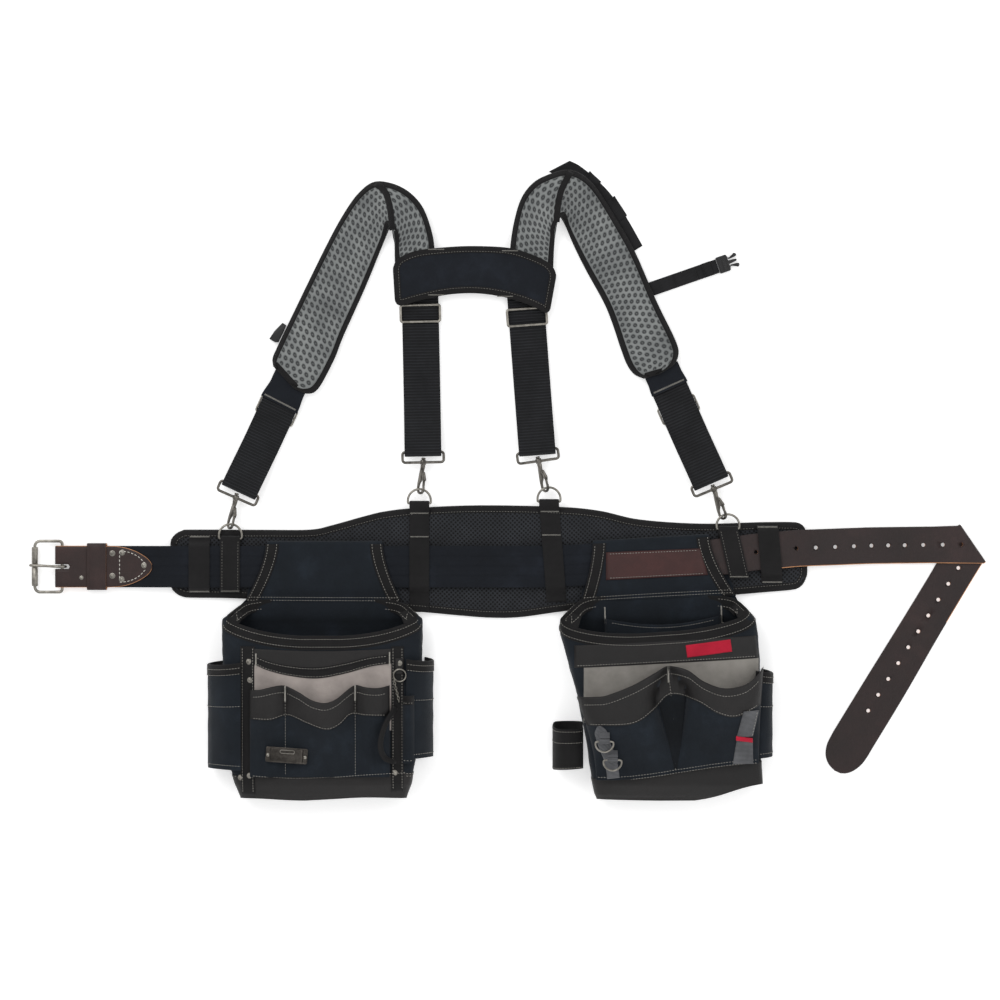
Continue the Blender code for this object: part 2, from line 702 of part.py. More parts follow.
LEFT_OUTER = [(-0.3250, 0.1640, 0.0114), (-0.3050, 0.2120, 0.0085), (-0.2533, 0.3200, 0.0050)]
LEFT_OUTER += [(-0.2150, 0.3830, 0.0060), (-0.1850, 0.4060, 0.0160), (-0.1560, 0.4010, 0.0270)]
LEFT_OUTER += [(-0.1230, 0.3790, 0.0250), (-0.1050, 0.3220, 0.0110), (-0.1030, 0.2780, 0.0104)]
LEFT_INNER = [(-0.2630, 0.1330, 0.0114), (-0.2400, 0.1800, 0.0085), (-0.2024, 0.2680, 0.0050)]
LEFT_INNER += [(-0.1760, 0.3350, 0.0060), (-0.1650, 0.3720, 0.0160), (-0.1600, 0.3640, 0.0270)]
LEFT_INNER += [(-0.1560, 0.3480, 0.0250), (-0.1560, 0.3180, 0.0110), (-0.1540, 0.2780, 0.0104)]
RIGHT_OUTER = [(0.2235, 0.1800, 0.0114), (0.2080, 0.2320, 0.0090), (0.1620, 0.3230, 0.0070)]
RIGHT_OUTER += [(0.1240, 0.3900, 0.0075), (0.0900, 0.4190, 0.0170), (0.0560, 0.4180, 0.0270)]
RIGHT_OUTER += [(0.0240, 0.3950, 0.0250), (0.0060, 0.3300, 0.0110), (0.0050, 0.2800, 0.0104)]
RIGHT_INNER = [(0.1660, 0.1580, 0.0114), (0.1400, 0.2180, 0.0090), (0.1070, 0.2930, 0.0070)]
RIGHT_INNER += [(0.0790, 0.3500, 0.0075), (0.0690, 0.3830, 0.0170), (0.0640, 0.3760, 0.0270)]
RIGHT_INNER += [(0.0600, 0.3580, 0.0250), (0.0580, 0.3240, 0.0110), (0.0570, 0.2800, 0.0104)]


def make_yoke():
    """Stitched patch that covers the back ends of both shoulder pads."""
    top = [(-0.1580, 0.2960), (-0.1400, 0.3080), (-0.1080, 0.3165), (-0.0460, 0.3195)]
    top += [(0.0130, 0.3160), (0.0450, 0.3040), (0.0640, 0.2900)]
    low = [(-0.1530, 0.2400), (-0.1330, 0.2450), (-0.1000, 0.2520), (-0.0460, 0.2570)]
    low += [(0.0000, 0.2520), (0.0310, 0.2400), (0.0540, 0.2300)]
    heights = [0.0168, 0.0168, 0.0166, 0.0165, 0.0166, 0.0168, 0.0168]
    left = [Vector((x, y, z)) for (x, y), z in zip(top, heights)]
    right = [Vector((x, y, z)) for (x, y), z in zip(low, heights)]
    ribbon("yoke_patch", left, right, 0.0024, NAVY)


def make_sternum():
    """Chest strap, its side-release plug on the right pad, and the socket's tab on the left pad."""
    start = Vector((0.2420, 0.2780, 0.0034))
    end = Vector((0.2900, 0.2947, 0.0034))
    along = (end - start).normalized()
    side = Vector((-along.y, along.x, 0))
    strip("sternum_strap", [start - along * 0.044, start, end], side, 0.0098, 0.0020, WEBBING)
    base = end + along * 0.0004
    frame = Matrix.Translation(base) @ Matrix((along, side, Vector((0, 0, 1)))).transposed().to_4x4()
    body = [(0.0, -0.0115), (0.0150, -0.0115), (0.0165, -0.0050), (0.0150, -0.0036)]
    body += [(0.0270, -0.0013), (0.0270, 0.0013), (0.0150, 0.0036)]
    body += [(0.0165, 0.0050), (0.0150, 0.0115), (0.0, 0.0115)]
    plug = outline("sternum_plug", body, 0.0050, PLASTIC)
    plug.matrix_world = frame
    for name, sign in (("prong_upper", 1), ("prong_lower", -1)):
        prong = [(0.0170, 0.0060), (0.0250, 0.0072), (0.0262, 0.0098), (0.0290, 0.0078)]
        prong += [(0.0290, 0.0050), (0.0260, 0.0040), (0.0170, 0.0038)]
        piece = outline(name, [(x, sign * y) for x, y in prong], 0.0030, PLASTIC)
        piece.matrix_world = frame
    tab = [(-0.3133, 0.2158), (-0.3080, 0.2125), (-0.3190, 0.1890), (-0.3238, 0.1888), (-0.3317, 0.1936)]
    socket = outline("sternum_socket", tab, 0.0060, PLASTIC)
    socket.location.z = 0.0034
    outer = [(0.0850, 0.4410), (0.1000, 0.4330), (0.1230, 0.4140)]
    outer += [(0.1430, 0.3930), (0.1650, 0.3600), (0.1860, 0.3230)]
    inner = [(0.0560, 0.4260), (0.0750, 0.4150), (0.1080, 0.3990)]
    inner += [(0.1290, 0.3840), (0.1520, 0.3500), (0.1730, 0.3150)]
    left = [Vector((x, y, 0.0012)) for x, y in outer]
    right = [Vector((x, y, 0.0012)) for x, y in inner]
    ribbon("sternum_track", left, right, 0.0018, WEBBING)


def make_left_pouch():
    make_tunnel(
        "left_pouch_tunnel", -0.334, -0.1746, -0.363, -0.1492, -0.388, -0.1450, -0.0872, -0.1640, -0.1905
    )
    rows = [
        (-0.4370, -0.366, -0.142, 0.0080, 0.0420, 0.0),
        (-0.4200, -0.374, -0.135, 0.0010, 0.0520, 0.0),
        (-0.3900, -0.384, -0.129, 0.0004, 0.0560, 0.0),
        (-0.3000, -0.390, -0.122, 0.0004, 0.0570, 0.0),
        (-0.2350, -0.393, -0.119, 0.0004, 0.0560, -0.004),
        (-0.1925, -0.394, -0.119, 0.0004, 0.0520, -0.022),
    ]
    bag("left_pouch_body", rows, 0.0030, NAVY)
    face = 0.0575
    rows = [
        (-0.4080, -0.350, -0.166, face + 0.0003, face + 0.0070, 0.0),
        (-0.3900, -0.352, -0.164, face + 0.0003, face + 0.0200, 0.0),
        (-0.3400, -0.352, -0.164, face + 0.0003, face + 0.0230, 0.0),
        (-0.2900, -0.352, -0.164, face + 0.0003, face + 0.0210, -0.008),
    ]
    bag("left_front_pockets", rows, 0.0022, NAVY)
    rows = [
        (-0.4000, -0.4100, -0.3955, 0.0060, 0.0440, 0.0),
        (-0.3800, -0.4145, -0.3955, 0.0040, 0.0460, 0.0),
        (-0.2560, -0.4150, -0.3955, 0.0040, 0.0460, 0.0),
    ]
    bag("left_outer_side_pocket", rows, 0.0020, NAVY, count=16)
    rows = [
        (-0.3850, -0.1175, -0.1080, 0.0060, 0.0440, 0.0),
        (-0.3600, -0.1175, -0.1040, 0.0040, 0.0460, 0.0),
        (-0.2500, -0.1175, -0.1040, 0.0040, 0.0460, 0.0),
    ]
    bag("left_inner_side_pocket", rows, 0.0020, NAVY, count=16)
    clip = [(-0.0285, -0.0105), (0.0285, -0.0105), (0.0285, 0.0105), (-0.0285, 0.0105)]
    plate = outline("tape_clip", clip, 0.0012, NICKEL)
    plate.location = (-0.3028, -0.3780, face + 0.0250)
    plate.rotation_euler.z = math.radians(-4)


def make_right_pouch():
    make_tunnel(
        "right_pouch_tunnel", 0.117, 0.278, 0.104, 0.306, 0.090, 0.330, -0.0780, -0.1600, -0.1905
    )
    rows = [
        (-0.4410, 0.124, 0.340, 0.0080, 0.0420, 0.0),
        (-0.4200, 0.118, 0.347, 0.0010, 0.0520, 0.0),
        (-0.3700, 0.108, 0.346, 0.0004, 0.0560, 0.0),
        (-0.3000, 0.096, 0.345, 0.0004, 0.0570, 0.0),
        (-0.2500, 0.084, 0.346, 0.0004, 0.0560, -0.006),
        (-0.1925, 0.074, 0.341, 0.0004, 0.0520, -0.016),
    ]
    bag("right_pouch_body", rows, 0.0030, NAVY)
    face = 0.0575
    rows = [
        (-0.4060, 0.122, 0.334, face + 0.0003, face + 0.0070, 0.0),
        (-0.3850, 0.112, 0.338, face + 0.0003, face + 0.0220, 0.0),
        (-0.3200, 0.104, 0.342, face + 0.0003, face + 0.0270, 0.0),
        (-0.2750, 0.096, 0.342, face + 0.0003, face + 0.0250, -0.008),
    ]
    bag("right_front_pockets", rows, 0.0022, NAVY)
    rows = [
        (-0.3840, 0.3490, 0.3590, 0.0060, 0.0440, 0.0),
        (-0.3600, 0.3490, 0.3625, 0.0040, 0.0460, 0.0),
        (-0.2640, 0.3490, 0.3625, 0.0040, 0.0460, 0.0),
    ]
    bag("right_side_pocket", rows, 0.0020, NAVY, count=16)
    make_hammer_loop()
    make_accessory_rings()


def make_hammer_loop():
    """A wide strap that stands out from the pouch's side as an open loop, for a hammer's handle."""
    path = []
    for step in range(13):
        angle = math.radians(25 + 310 * step / 12)
        path.append((0.0830 + 0.0215 * math.cos(angle), -0.3690, 0.0230 + 0.0200 * math.sin(angle)))
    strip("hammer_loop", path, (0, 1, 0), 0.0310, 0.0022, BLACK)


def make_accessory_rings():
    """Two small D-rings that hang from a ribbon on the pouch's front."""
    for name, x, y in (("upper_accessory_ring", 0.1300, -0.3590), ("lower_accessory_ring", 0.1410, -0.3840)):
        points = []
        for step in range(8):
            angle = -math.pi * step / 7
            points.append((x + 0.0125 * math.cos(angle), y + 0.0115 * math.sin(angle) + 0.0020, 0.0868))
        wire(name, points, 0.0013, NICKEL, closed=True)


def main():
    make_pad()
    make_belt_core()
    make_buckle_tab()
    make_buckle()
    make_keeper()
    make_tail()
    make_plain_loop("outer_left_loop", -0.4275, -0.0790, -0.4275, -0.1580, 0.0145)
    make_plain_loop("outer_right_loop", 0.3580, -0.0655, 0.3650, -0.1450, 0.0145)
    loops = {"front_left": (-0.3850, -0.158), "back_left": (-0.1233, -0.1850)}
    loops |= {"back_right": (0.0665, -0.1710), "front_right": (0.3190, -0.1380)}
    for side, (x_low, y_low) in loops.items():
        spec = HARNESS[side]
        make_ring_loop(f"{side}_ring_loop", spec["ring_x"], spec["bar_y"], x_low, y_low, 0.0137)
        make_suspender(side, spec)
    make_shoulder_pad("left_shoulder_pad", LEFT_OUTER, LEFT_INNER)
    make_shoulder_pad("right_shoulder_pad", RIGHT_OUTER, RIGHT_INNER)
    make_yoke()
    make_sternum()
    make_left_pouch()
    make_right_pouch()


main()
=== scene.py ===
"""Looks of the work belt: fabric, leather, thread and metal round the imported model, laid out flat.

Metres, in the model's frame. Panels are built in code as sheets with thickness, and what is sewn on
them (tapes, thread, rivets) is laid on their surface by casting rays down from above.
"""

import json
import math

import bmesh
import bpy
import numpy as np
from mathutils import Matrix, Vector, noise
from mathutils.bvhtree import BVHTree

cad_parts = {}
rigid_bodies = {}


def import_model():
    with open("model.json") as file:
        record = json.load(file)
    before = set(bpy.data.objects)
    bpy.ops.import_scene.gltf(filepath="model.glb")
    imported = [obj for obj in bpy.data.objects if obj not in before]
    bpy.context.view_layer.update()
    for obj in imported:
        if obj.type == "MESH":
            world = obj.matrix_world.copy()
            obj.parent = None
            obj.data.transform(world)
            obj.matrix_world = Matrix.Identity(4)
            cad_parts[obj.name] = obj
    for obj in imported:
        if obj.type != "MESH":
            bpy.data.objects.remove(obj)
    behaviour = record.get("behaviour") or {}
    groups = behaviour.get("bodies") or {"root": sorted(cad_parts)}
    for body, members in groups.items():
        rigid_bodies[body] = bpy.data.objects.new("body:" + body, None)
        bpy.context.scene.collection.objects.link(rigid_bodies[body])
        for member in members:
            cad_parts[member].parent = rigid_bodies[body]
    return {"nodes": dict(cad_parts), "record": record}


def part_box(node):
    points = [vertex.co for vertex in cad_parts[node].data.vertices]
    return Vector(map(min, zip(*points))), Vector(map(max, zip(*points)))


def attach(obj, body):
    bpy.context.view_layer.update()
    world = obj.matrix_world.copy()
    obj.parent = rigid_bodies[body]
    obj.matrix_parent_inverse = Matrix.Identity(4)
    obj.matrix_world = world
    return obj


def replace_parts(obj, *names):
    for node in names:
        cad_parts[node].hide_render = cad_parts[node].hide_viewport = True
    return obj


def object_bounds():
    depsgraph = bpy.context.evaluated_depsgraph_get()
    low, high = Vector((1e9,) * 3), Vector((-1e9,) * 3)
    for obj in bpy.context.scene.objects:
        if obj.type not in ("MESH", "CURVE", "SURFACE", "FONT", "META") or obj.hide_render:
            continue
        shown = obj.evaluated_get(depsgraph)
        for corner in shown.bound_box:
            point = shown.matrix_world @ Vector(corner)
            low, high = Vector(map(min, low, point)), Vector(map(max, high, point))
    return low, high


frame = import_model()
CAD_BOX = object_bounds()
SKY = 0.3
BELT_MIDDLE = -0.122


# Materials
class Look:
    """A Principled material whose patterns are built from nodes."""

    def __init__(self, name, colour, rough, slot, metallic=0.0, sheen=0.0, coat=0.0, specular=0.5):
        self.material = bpy.data.materials.new(name)
        self.material.use_nodes = True
        self.slot = slot
        self.tree = self.material.node_tree
        self.shader = self.tree.nodes["Principled BSDF"]
        self.colour = (*colour, 1.0)
        self.set("Base Color", self.colour)
        self.set("Roughness", rough)
        self.set("Metallic", metallic)
        self.set("Sheen Weight", sheen)
        self.set("Sheen Roughness", 0.5)
        self.set("Coat Weight", coat)
        self.set("Coat Roughness", 0.25)
        self.set("Specular IOR Level", specular)
        self.bump = None

    def set(self, socket, value):
        self.shader.inputs[socket].default_value = value

    def node(self, kind, links=(), **settings):
        made = self.tree.nodes.new("ShaderNode" + kind)
        for key, value in settings.items():
            if key in made.inputs:
                made.inputs[key].default_value = value
            else:
                setattr(made, key, value)
        for socket, source in dict(links).items():
            self.tree.links.new(source, made.inputs[socket])
        return made

    def place(self, cloth=False):
        """The surface's own coordinates: along and across the cloth, or the object's."""
        if cloth:
            return self.node("Attribute", attribute_name="cloth").outputs["Vector"]
        return self.node("TexCoord").outputs["Object"]

    def scaled(self, where, scale, turn=0.0):
        made = self.node("Mapping", {"Vector": where})
        made.inputs["Scale"].default_value = scale
        made.inputs["Rotation"].default_value = (0, 0, turn)
        return made.outputs["Vector"]

    def noise(self, where, scale, detail=3.0, rough=0.55):
        made = self.node("TexNoise", {"Vector": where})
        made.inputs["Scale"].default_value = scale
        made.inputs["Detail"].default_value = detail
        made.inputs["Roughness"].default_value = rough
        return made.outputs["Fac"]

    def wave(self, where, scale, direction, warp=0.0):
        made = self.node("TexWave", {"Vector": where}, wave_type="BANDS", bands_direction=direction)
        made.inputs["Scale"].default_value = scale
        made.inputs["Distortion"].default_value = warp
        made.inputs["Detail"].default_value = 1.0
        return made.outputs["Fac"]

    def math(self, operation, first, second):
        made = self.node("Math", operation=operation)
        for socket, value in zip(made.inputs, (first, second)):
            if isinstance(value, float):
                socket.default_value = value
            else:
                self.tree.links.new(value, socket)
        return made.outputs[0]

    def ramp(self, value, stops):
        made = self.node("ValToRGB", {"Fac": value})
        ramp = made.color_ramp
        while len(ramp.elements) < len(stops):
            ramp.elements.new(0.5)
        for element, (position, colour) in zip(ramp.elements, stops):
            element.position = position
            element.color = colour if len(colour) == 4 else (*colour, 1.0)
        return made.outputs["Color"]

    def between(self, value, low, high):
        """The value's 0 to 1 spread over low to high."""
        made = self.node("MapRange", {"Value": value})
        made.inputs["To Min"].default_value = low
        made.inputs["To Max"].default_value = high
        return made.outputs["Result"]

    def mix(self, factor, first, second):
        made = self.node("Mix", data_type="RGBA", blend_type="MIX")
        colours = [socket for socket in made.inputs if socket.type == "RGBA"]
        for socket, value in zip((made.inputs["Factor"], *colours), (factor, first, second)):
            if hasattr(value, "links"):
                self.tree.links.new(value, socket)
            else:
                socket.default_value = value
        return [socket for socket in made.outputs if socket.type == "RGBA"][0]

    def paint(self, colour):
        self.tree.links.new(colour, self.shader.inputs["Base Color"])
        return self

    def roughen(self, value, low, high):
        self.tree.links.new(self.between(value, low, high), self.shader.inputs["Roughness"])
        return self

    def raise_by(self, height, distance, strength=1.0):
        links = {"Height": height}
        if self.bump:
            links["Normal"] = self.bump.outputs["Normal"]
        self.bump = self.node("Bump", links)
        self.bump.inputs["Distance"].default_value = distance
        self.bump.inputs["Strength"].default_value = strength
        self.tree.links.new(self.bump.outputs["Normal"], self.shader.inputs["Normal"])
        return self


def srgb(*levels):
    """An 8-bit screen colour as linear light."""
    return tuple(((v / 255 + 0.055) / 1.055) ** 2.4 if v > 10 else v / 255 / 12.92 for v in levels)


def shade(colour, factor):
    return tuple(min(c * factor, 1.0) for c in colour)


def canvas(name, colour, slot, thread=0.0009, worn=1.8):
    """Woven cloth: two sets of threads, with lighter wear and faint creases."""
    rough = 0.82
    look = Look(name, colour, rough, slot, sheen=0.08, specular=0.2)
    where = look.place(cloth=True)
    one = look.wave(where, 0.32 / thread, "X", 0.5)
    two = look.wave(where, 0.32 / thread, "Y", 0.5)
    weave = look.math("MAXIMUM", look.math("MULTIPLY", one, 0.9), two)
    place = look.place()
    wear = look.noise(place, 22.0, 5.0, 0.62)
    fine = look.noise(place, 420.0, 2.0)
    tone = look.ramp(wear, [(0.3, shade(colour, 0.72)), (0.55, colour), (0.78, shade(colour, worn))])
    look.paint(look.mix(look.between(weave, 0.45, 0.0), tone, (*shade(colour, 0.35), 1.0)))
    look.roughen(fine, rough - 0.08, min(rough + 0.12, 1.0))
    look.raise_by(weave, thread * 0.25, 0.7)
    look.raise_by(look.noise(place, 60.0, 4.0), 0.0012, 0.35)
    return look


def ribbed(name, colour, slot, rib, across=False, depth=0.0004):
    """Tape or webbing with ribs across its length, or along it, and a fine thread over them."""
    rough = 0.68
    look = Look(name, colour, rough, slot, sheen=0.05, specular=0.24)
    where = look.place(cloth=True)
    ribs = look.wave(where, 0.32 / rib, "Y" if across else "X", 0.2)
    threads = look.wave(where, 0.32 / 0.0007, "X" if across else "Y", 0.4)
    place = look.place()
    wear = look.noise(place, 30.0, 4.0, 0.6)
    tone = look.ramp(wear, [(0.3, shade(colour, 0.75)), (0.75, shade(colour, 1.7))])
    look.paint(look.mix(look.between(ribs, 0.85, 0.0), tone, (*shade(colour, 0.3), 1.0)))
    look.roughen(threads, rough - 0.06, rough + 0.14)
    look.raise_by(ribs, depth, 0.9)
    look.raise_by(threads, 0.00015, 0.6)
    return look


def hide(name, colour, slot, grain=0.0011, rough=0.46, wrinkle=0.5, wear=2.0):
    """Leather: pebbled grain, soft wrinkles, and lighter rubbed spots."""
    look = Look(name, colour, rough, slot, coat=0.08, specular=0.36)
    place = look.place()
    cells = look.node("TexVoronoi", {"Vector": place}, feature="DISTANCE_TO_EDGE")
    cells.inputs["Scale"].default_value = 1.0 / grain
    pores = look.ramp(cells.outputs["Distance"], [(0.0, (0, 0, 0)), (0.22, (1, 1, 1))])
    clouds = look.noise(place, 14.0, 6.0, 0.66)
    tone = look.ramp(clouds, [(0.28, shade(colour, 0.55)), (0.52, colour), (0.74, shade(colour, wear))])
    look.paint(look.mix(look.between(pores, 0.5, 0.0), tone, (*shade(colour, 0.4), 1.0)))
    look.roughen(clouds, rough - 0.1, rough + 0.18)
    look.raise_by(pores, grain * 0.18, 0.55)
    creases = look.noise(look.scaled(place, (1.0, 0.22, 1.0)), 190.0, 4.0, 0.6)
    look.raise_by(creases, 0.0012, wrinkle)
    return look


def metal(name, colour, slot, rough=0.32, stain=0.45):
    """Antique nickel: bright where it is rubbed, darker and duller in patches."""
    look = Look(name, colour, rough, slot, metallic=1.0)
    place = look.place()
    patches = look.noise(place, 130.0, 5.0, 0.6)
    look.paint(look.ramp(patches, [(0.3, shade(colour, stain)), (0.6, colour), (0.8, shade(colour, 1.25))]))
    look.roughen(patches, rough + 0.18, rough - 0.08)
    look.raise_by(look.noise(look.scaled(place, (1, 1, 4)), 900.0, 3.0), 0.0002, 0.5)
    return look


def plain(name, colour, slot, rough=0.5, scale=700.0, depth=0.00015, sheen=0.0):
    """A look with no weave: soft patches of light and dark with a fine grain."""
    look = Look(name, colour, rough, slot, sheen=sheen)
    place = look.place()
    spots = look.noise(place, scale, 3.0)
    look.paint(
        look.ramp(look.noise(place, scale / 12, 4.0), [(0.3, shade(colour, 0.8)), (0.75, shade(colour, 1.35))])
    )
    look.roughen(spots, rough - 0.07, min(rough + 0.15, 1.0))
    look.raise_by(spots, depth, 0.6)
    return look


def netting(name, colour, slot, pitch, hole_colour, depth):
    """Knitted mesh: rows of small dark holes, each row half a hole along from the next."""
    look = Look(name, colour, 0.8, slot, sheen=0.1, specular=0.22)
    where = look.place(cloth=True)
    holes = look.node(
        "TexVoronoi", {"Vector": look.scaled(where, (1.0, 1.0, 0.0), math.radians(45))}, feature="F1"
    )
    holes.inputs["Scale"].default_value = 1.0 / pitch
    holes.inputs["Randomness"].default_value = 0.0
    rim = look.ramp(holes.outputs["Distance"], [(0.22, (0, 0, 0)), (0.42, (1, 1, 1))])
    clouds = look.noise(look.place(), 40.0, 4.0)
    tone = look.ramp(clouds, [(0.3, shade(colour, 0.8)), (0.7, shade(colour, 1.3))])
    look.paint(look.mix(rim, (*hole_colour, 1.0), tone))
    look.raise_by(rim, depth, 0.9)
    look.raise_by(look.wave(where, 0.32 / 0.0006, "X", 1.0), 0.00012, 0.6)
    return look


NAVY = srgb(25, 31, 38)
COAL = srgb(22, 21, 22)
CLOTH = canvas("navy_canvas", NAVY, "pouch_fabric")
PAD_CLOTH = canvas("navy_pad_cloth", srgb(24, 28, 35), "pad_fabric", thread=0.0011)
TAPE = ribbed("black_tape", COAL, "binding", rib=0.0012, across=True, depth=0.0002)
LOOP_TAPE = ribbed("loop_tape", srgb(24, 23, 24), "binding", rib=0.0016, depth=0.0003)
WEB = ribbed("suspender_webbing", srgb(30, 31, 34), "webbing", rib=0.0042, depth=0.0016)
BELT_CLOTH = canvas("belt_cloth", srgb(21, 25, 32), "pad_fabric", thread=0.0008)
CHEST_WEB = ribbed("chest_webbing", srgb(30, 30, 32), "webbing", rib=0.0017, depth=0.0003)
GREY_TAPE = ribbed("grey_tape", srgb(98, 99, 102), "grey_tape", rib=0.0018, depth=0.0003)
PAD_NET = netting("black_pad_mesh", srgb(40, 42, 46), "pad_fabric", 0.0043, srgb(7, 7, 8), 0.0008)
GREY_NET = plain(
    "grey_spacer_mesh", srgb(122, 124, 125), "spacer_mesh", rough=0.85, scale=900.0, depth=0.0004, sheen=0.3
)
SUEDE = plain("grey_suede", srgb(152, 143, 138), "lining", rough=0.92, scale=320.0, depth=0.0006, sheen=0.5)
# Navy darkened to stand for shadow: painted shade for the deep gusset between the right pouch's front pockets.
PAINTED_SHADE_CLOTH = canvas("shaded_navy_canvas", shade(NAVY, 0.42), "pouch_fabric")
GREY_LINING = canvas("grey_lining_canvas", srgb(148, 144, 138), "lining", thread=0.0012, worn=1.2)
WHITE_THREAD = plain("white_thread", srgb(205, 202, 194), "thread", rough=0.7, scale=2500.0)
THREAD = plain("light_thread", srgb(160, 157, 150), "thread", rough=0.7, scale=2500.0)
DIM_THREAD = plain("grey_thread", srgb(116, 114, 109), "thread", rough=0.7, scale=2500.0)
RED = canvas("red_label_cloth", srgb(196, 32, 58), "label", thread=0.0006, worn=1.2)
STRAP = hide("dark_brown_leather", srgb(42, 28, 27), "strap_leather", wrinkle=0.8)
TAB = hide("brown_tab_leather", srgb(48, 31, 29), "tab_leather", wrinkle=0.4)
PATCH = hide("maroon_patch_leather", srgb(62, 30, 28), "tab_leather", wrinkle=0.3, wear=1.6)
BLACK_HIDE = hide(
    "black_band_leather", srgb(24, 22, 22), "black_leather", grain=0.0014, rough=0.55, wrinkle=0.6
)
RAW_EDGE = plain("raw_tan_edge", srgb(192, 138, 98), "strap_leather", rough=0.8, scale=500.0, depth=0.0003)
NICKEL = metal("antique_nickel", srgb(158, 154, 146), "hardware")
GUNMETAL = metal("gunmetal", srgb(122, 118, 112), "hardware", rough=0.3, stain=0.36)
DARK_NICKEL = metal("dark_nickel", srgb(84, 80, 76), "hardware", rough=0.28)
PLASTIC = plain("black_acetal", srgb(26, 26, 27), "plastic", rough=0.4, scale=1200.0)


# Shapes
def smooth(points, steps=4):
    """Points on a Catmull-Rom curve through the given ones."""
    points = [Vector(p) for p in points]
    ends = [2 * points[0] - points[1], *points, 2 * points[-1] - points[-2]]
    curve = []
    for a, b, c, d in zip(ends, ends[1:], ends[2:], ends[3:]):
        for step in range(steps):
            t = step / steps
            bend = (2 * a - 5 * b + 4 * c - d) * t * t + (3 * b - a - 3 * c + d) * t**3
            curve.append(0.5 * (2 * b + (c - a) * t + bend))
    return curve + [points[-1]]


def length_of(path):
    return sum((b - a).length for a, b in zip(path, path[1:]))


def even(path, count):
    """That many points, evenly spaced along a path."""
    path = [Vector(p) for p in path]
    marks = [0.0]
    for a, b in zip(path, path[1:]):
        marks.append(marks[-1] + (b - a).length)
    wanted = np.linspace(0, marks[-1], count)
    columns = [np.interp(wanted, marks, [p[i] for p in path]) for i in range(len(path[0]))]
    return [Vector(p) for p in zip(*columns)]


def ease(t):
    t = min(max(t, 0.0), 1.0)
    return t * t * (3 - 2 * t)


def along_x(chain):
    """Height of a chain of points over x, for an edge given as (x, y) points."""
    chain = sorted((p[0], p[1]) for p in chain)
    xs, ys = [p[0] for p in chain], [p[1] for p in chain]
    return lambda x: float(np.interp(x, xs, ys))


def ripple(x, y, size, seed=0.0):
    """Soft, repeatable unevenness from -1 to 1."""
    return noise.noise(Vector((x / size, y / size, seed)))


class Shape:
    """Points and faces of one piece, put together from lofts."""

    def __init__(self):
        self.points = []
        self.faces = []
        self.marks = []
        self.cloth = []

    def loft(self, rings, loop=False, caps=True, cloth=None, mark=None):
        """Joins closed rings of points.

        cloth gives each ring's places on the cloth, and mark tells which faces take the second look.
        """
        start, count, travelled = len(self.points), len(rings[0]), 0.0
        for row, ring in enumerate(rings):
            if row:
                travelled += (sum(ring, Vector()) / count - sum(rings[row - 1], Vector()) / count).length
            around = 0.0
            for i, point in enumerate(ring):
                around += (point - ring[i - 1]).length if i else 0.0
                self.points.append(tuple(point))
                self.cloth.append(cloth[row][i] if cloth else (travelled, around, 0.0))
        rows = len(rings)
        for row in range(rows if loop else rows - 1):
            here, following = start + row * count, start + (row + 1) % rows * count
            for i in range(count):
                j = (i + 1) % count
                self.faces.append((here + i, here + j, following + j, following + i))
                self.marks.append(1 if mark and mark(i, count, row) else 0)
        if caps and not loop:
            for first in (start, start + (rows - 1) * count):
                for i in range(count // 2 - 1):
                    j = count - 1 - i
                    self.faces.append((first + i, first + i + 1, first + j - 1, first + j))
                    self.marks.append(1 if mark else 0)
        return self

    def make(self, name, look, body, second=None, sharp=None):
        """The object, with its look, riding on its body."""
        mesh = bpy.data.meshes.new(name)
        mesh.from_pydata(self.points, [], self.faces)
        values = np.array(self.cloth, np.float32).reshape(-1)
        mesh.attributes.new("cloth", "FLOAT_VECTOR", "POINT").data.foreach_set("vector", values)
        mesh.materials.append(look.material)
        if second:
            mesh.materials.append(second.material)
            mesh.polygons.foreach_set("material_index", self.marks)
        bm = bmesh.new()
        bm.from_mesh(mesh)
        bmesh.ops.recalc_face_normals(bm, faces=bm.faces)
        bm.to_mesh(mesh)
        bm.free()
        mesh.shade_smooth()
        if sharp:
            mesh.set_sharp_from_angle(angle=math.radians(sharp))
        obj = bpy.data.objects.new(name, mesh)
        bpy.context.scene.collection.objects.link(obj)
        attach(obj, body)
        return obj


def across_marks(width, edge, inner):
    """Distances across a panel: close together at its edges, even between them."""
    edge = [e for e in edge if e < width * 0.4]
    middle = np.linspace(edge[-1], width - edge[-1], inner + 2)[1:-1]
    return [*edge, *middle, *[width - e for e in reversed(edge)]]


EDGE = (0.0, 0.0005, 0.0016, 0.004, 0.008)


def sheet_rings(left, right, top, low, inner=8, edge=EDGE, ends=True):
    """Rings of a sheet between two edges. top and low give its faces' heights over the middle surface,
    from the distance to the nearest edge, the place along and the share across."""
    count = max(len(left), 2)
    middles = [(a + b) / 2 for a, b in zip(left, right)]
    total = length_of(middles)
    rings, cloth = [], []
    travelled = 0.0
    narrow = min((b - a).length for a, b in zip(left, right))
    edge = [e for e in edge if e < narrow * 0.4]
    for i in range(count):
        if i:
            travelled += (middles[i] - middles[i - 1]).length
        side = right[i] - left[i]
        ahead = middles[min(i + 1, count - 1)] - middles[max(i - 1, 0)]
        normal = side.cross(ahead).normalized()
        if i == 0:
            facing = -1 if normal.z < 0 else 1
        normal *= facing
        width = side.length
        upper, lower, marks = [], [], []
        for x in across_marks(width, edge, inner):
            d = min(x, width - x)
            if ends:
                d = min(d, travelled, total - travelled)
            spot = left[i] + side * (x / width)
            upper.append(spot + normal * top(d, travelled, x / width))
            lower.append(spot - normal * low(d, travelled, x / width))
            marks.append((travelled, x, 0.0))
        rings.append(upper + lower[::-1])
        cloth.append(marks + marks[::-1])
    return rings, cloth


def level(height):
    return lambda d, s, t: height * (0.45 + 0.55 * ease(d / 0.0012))


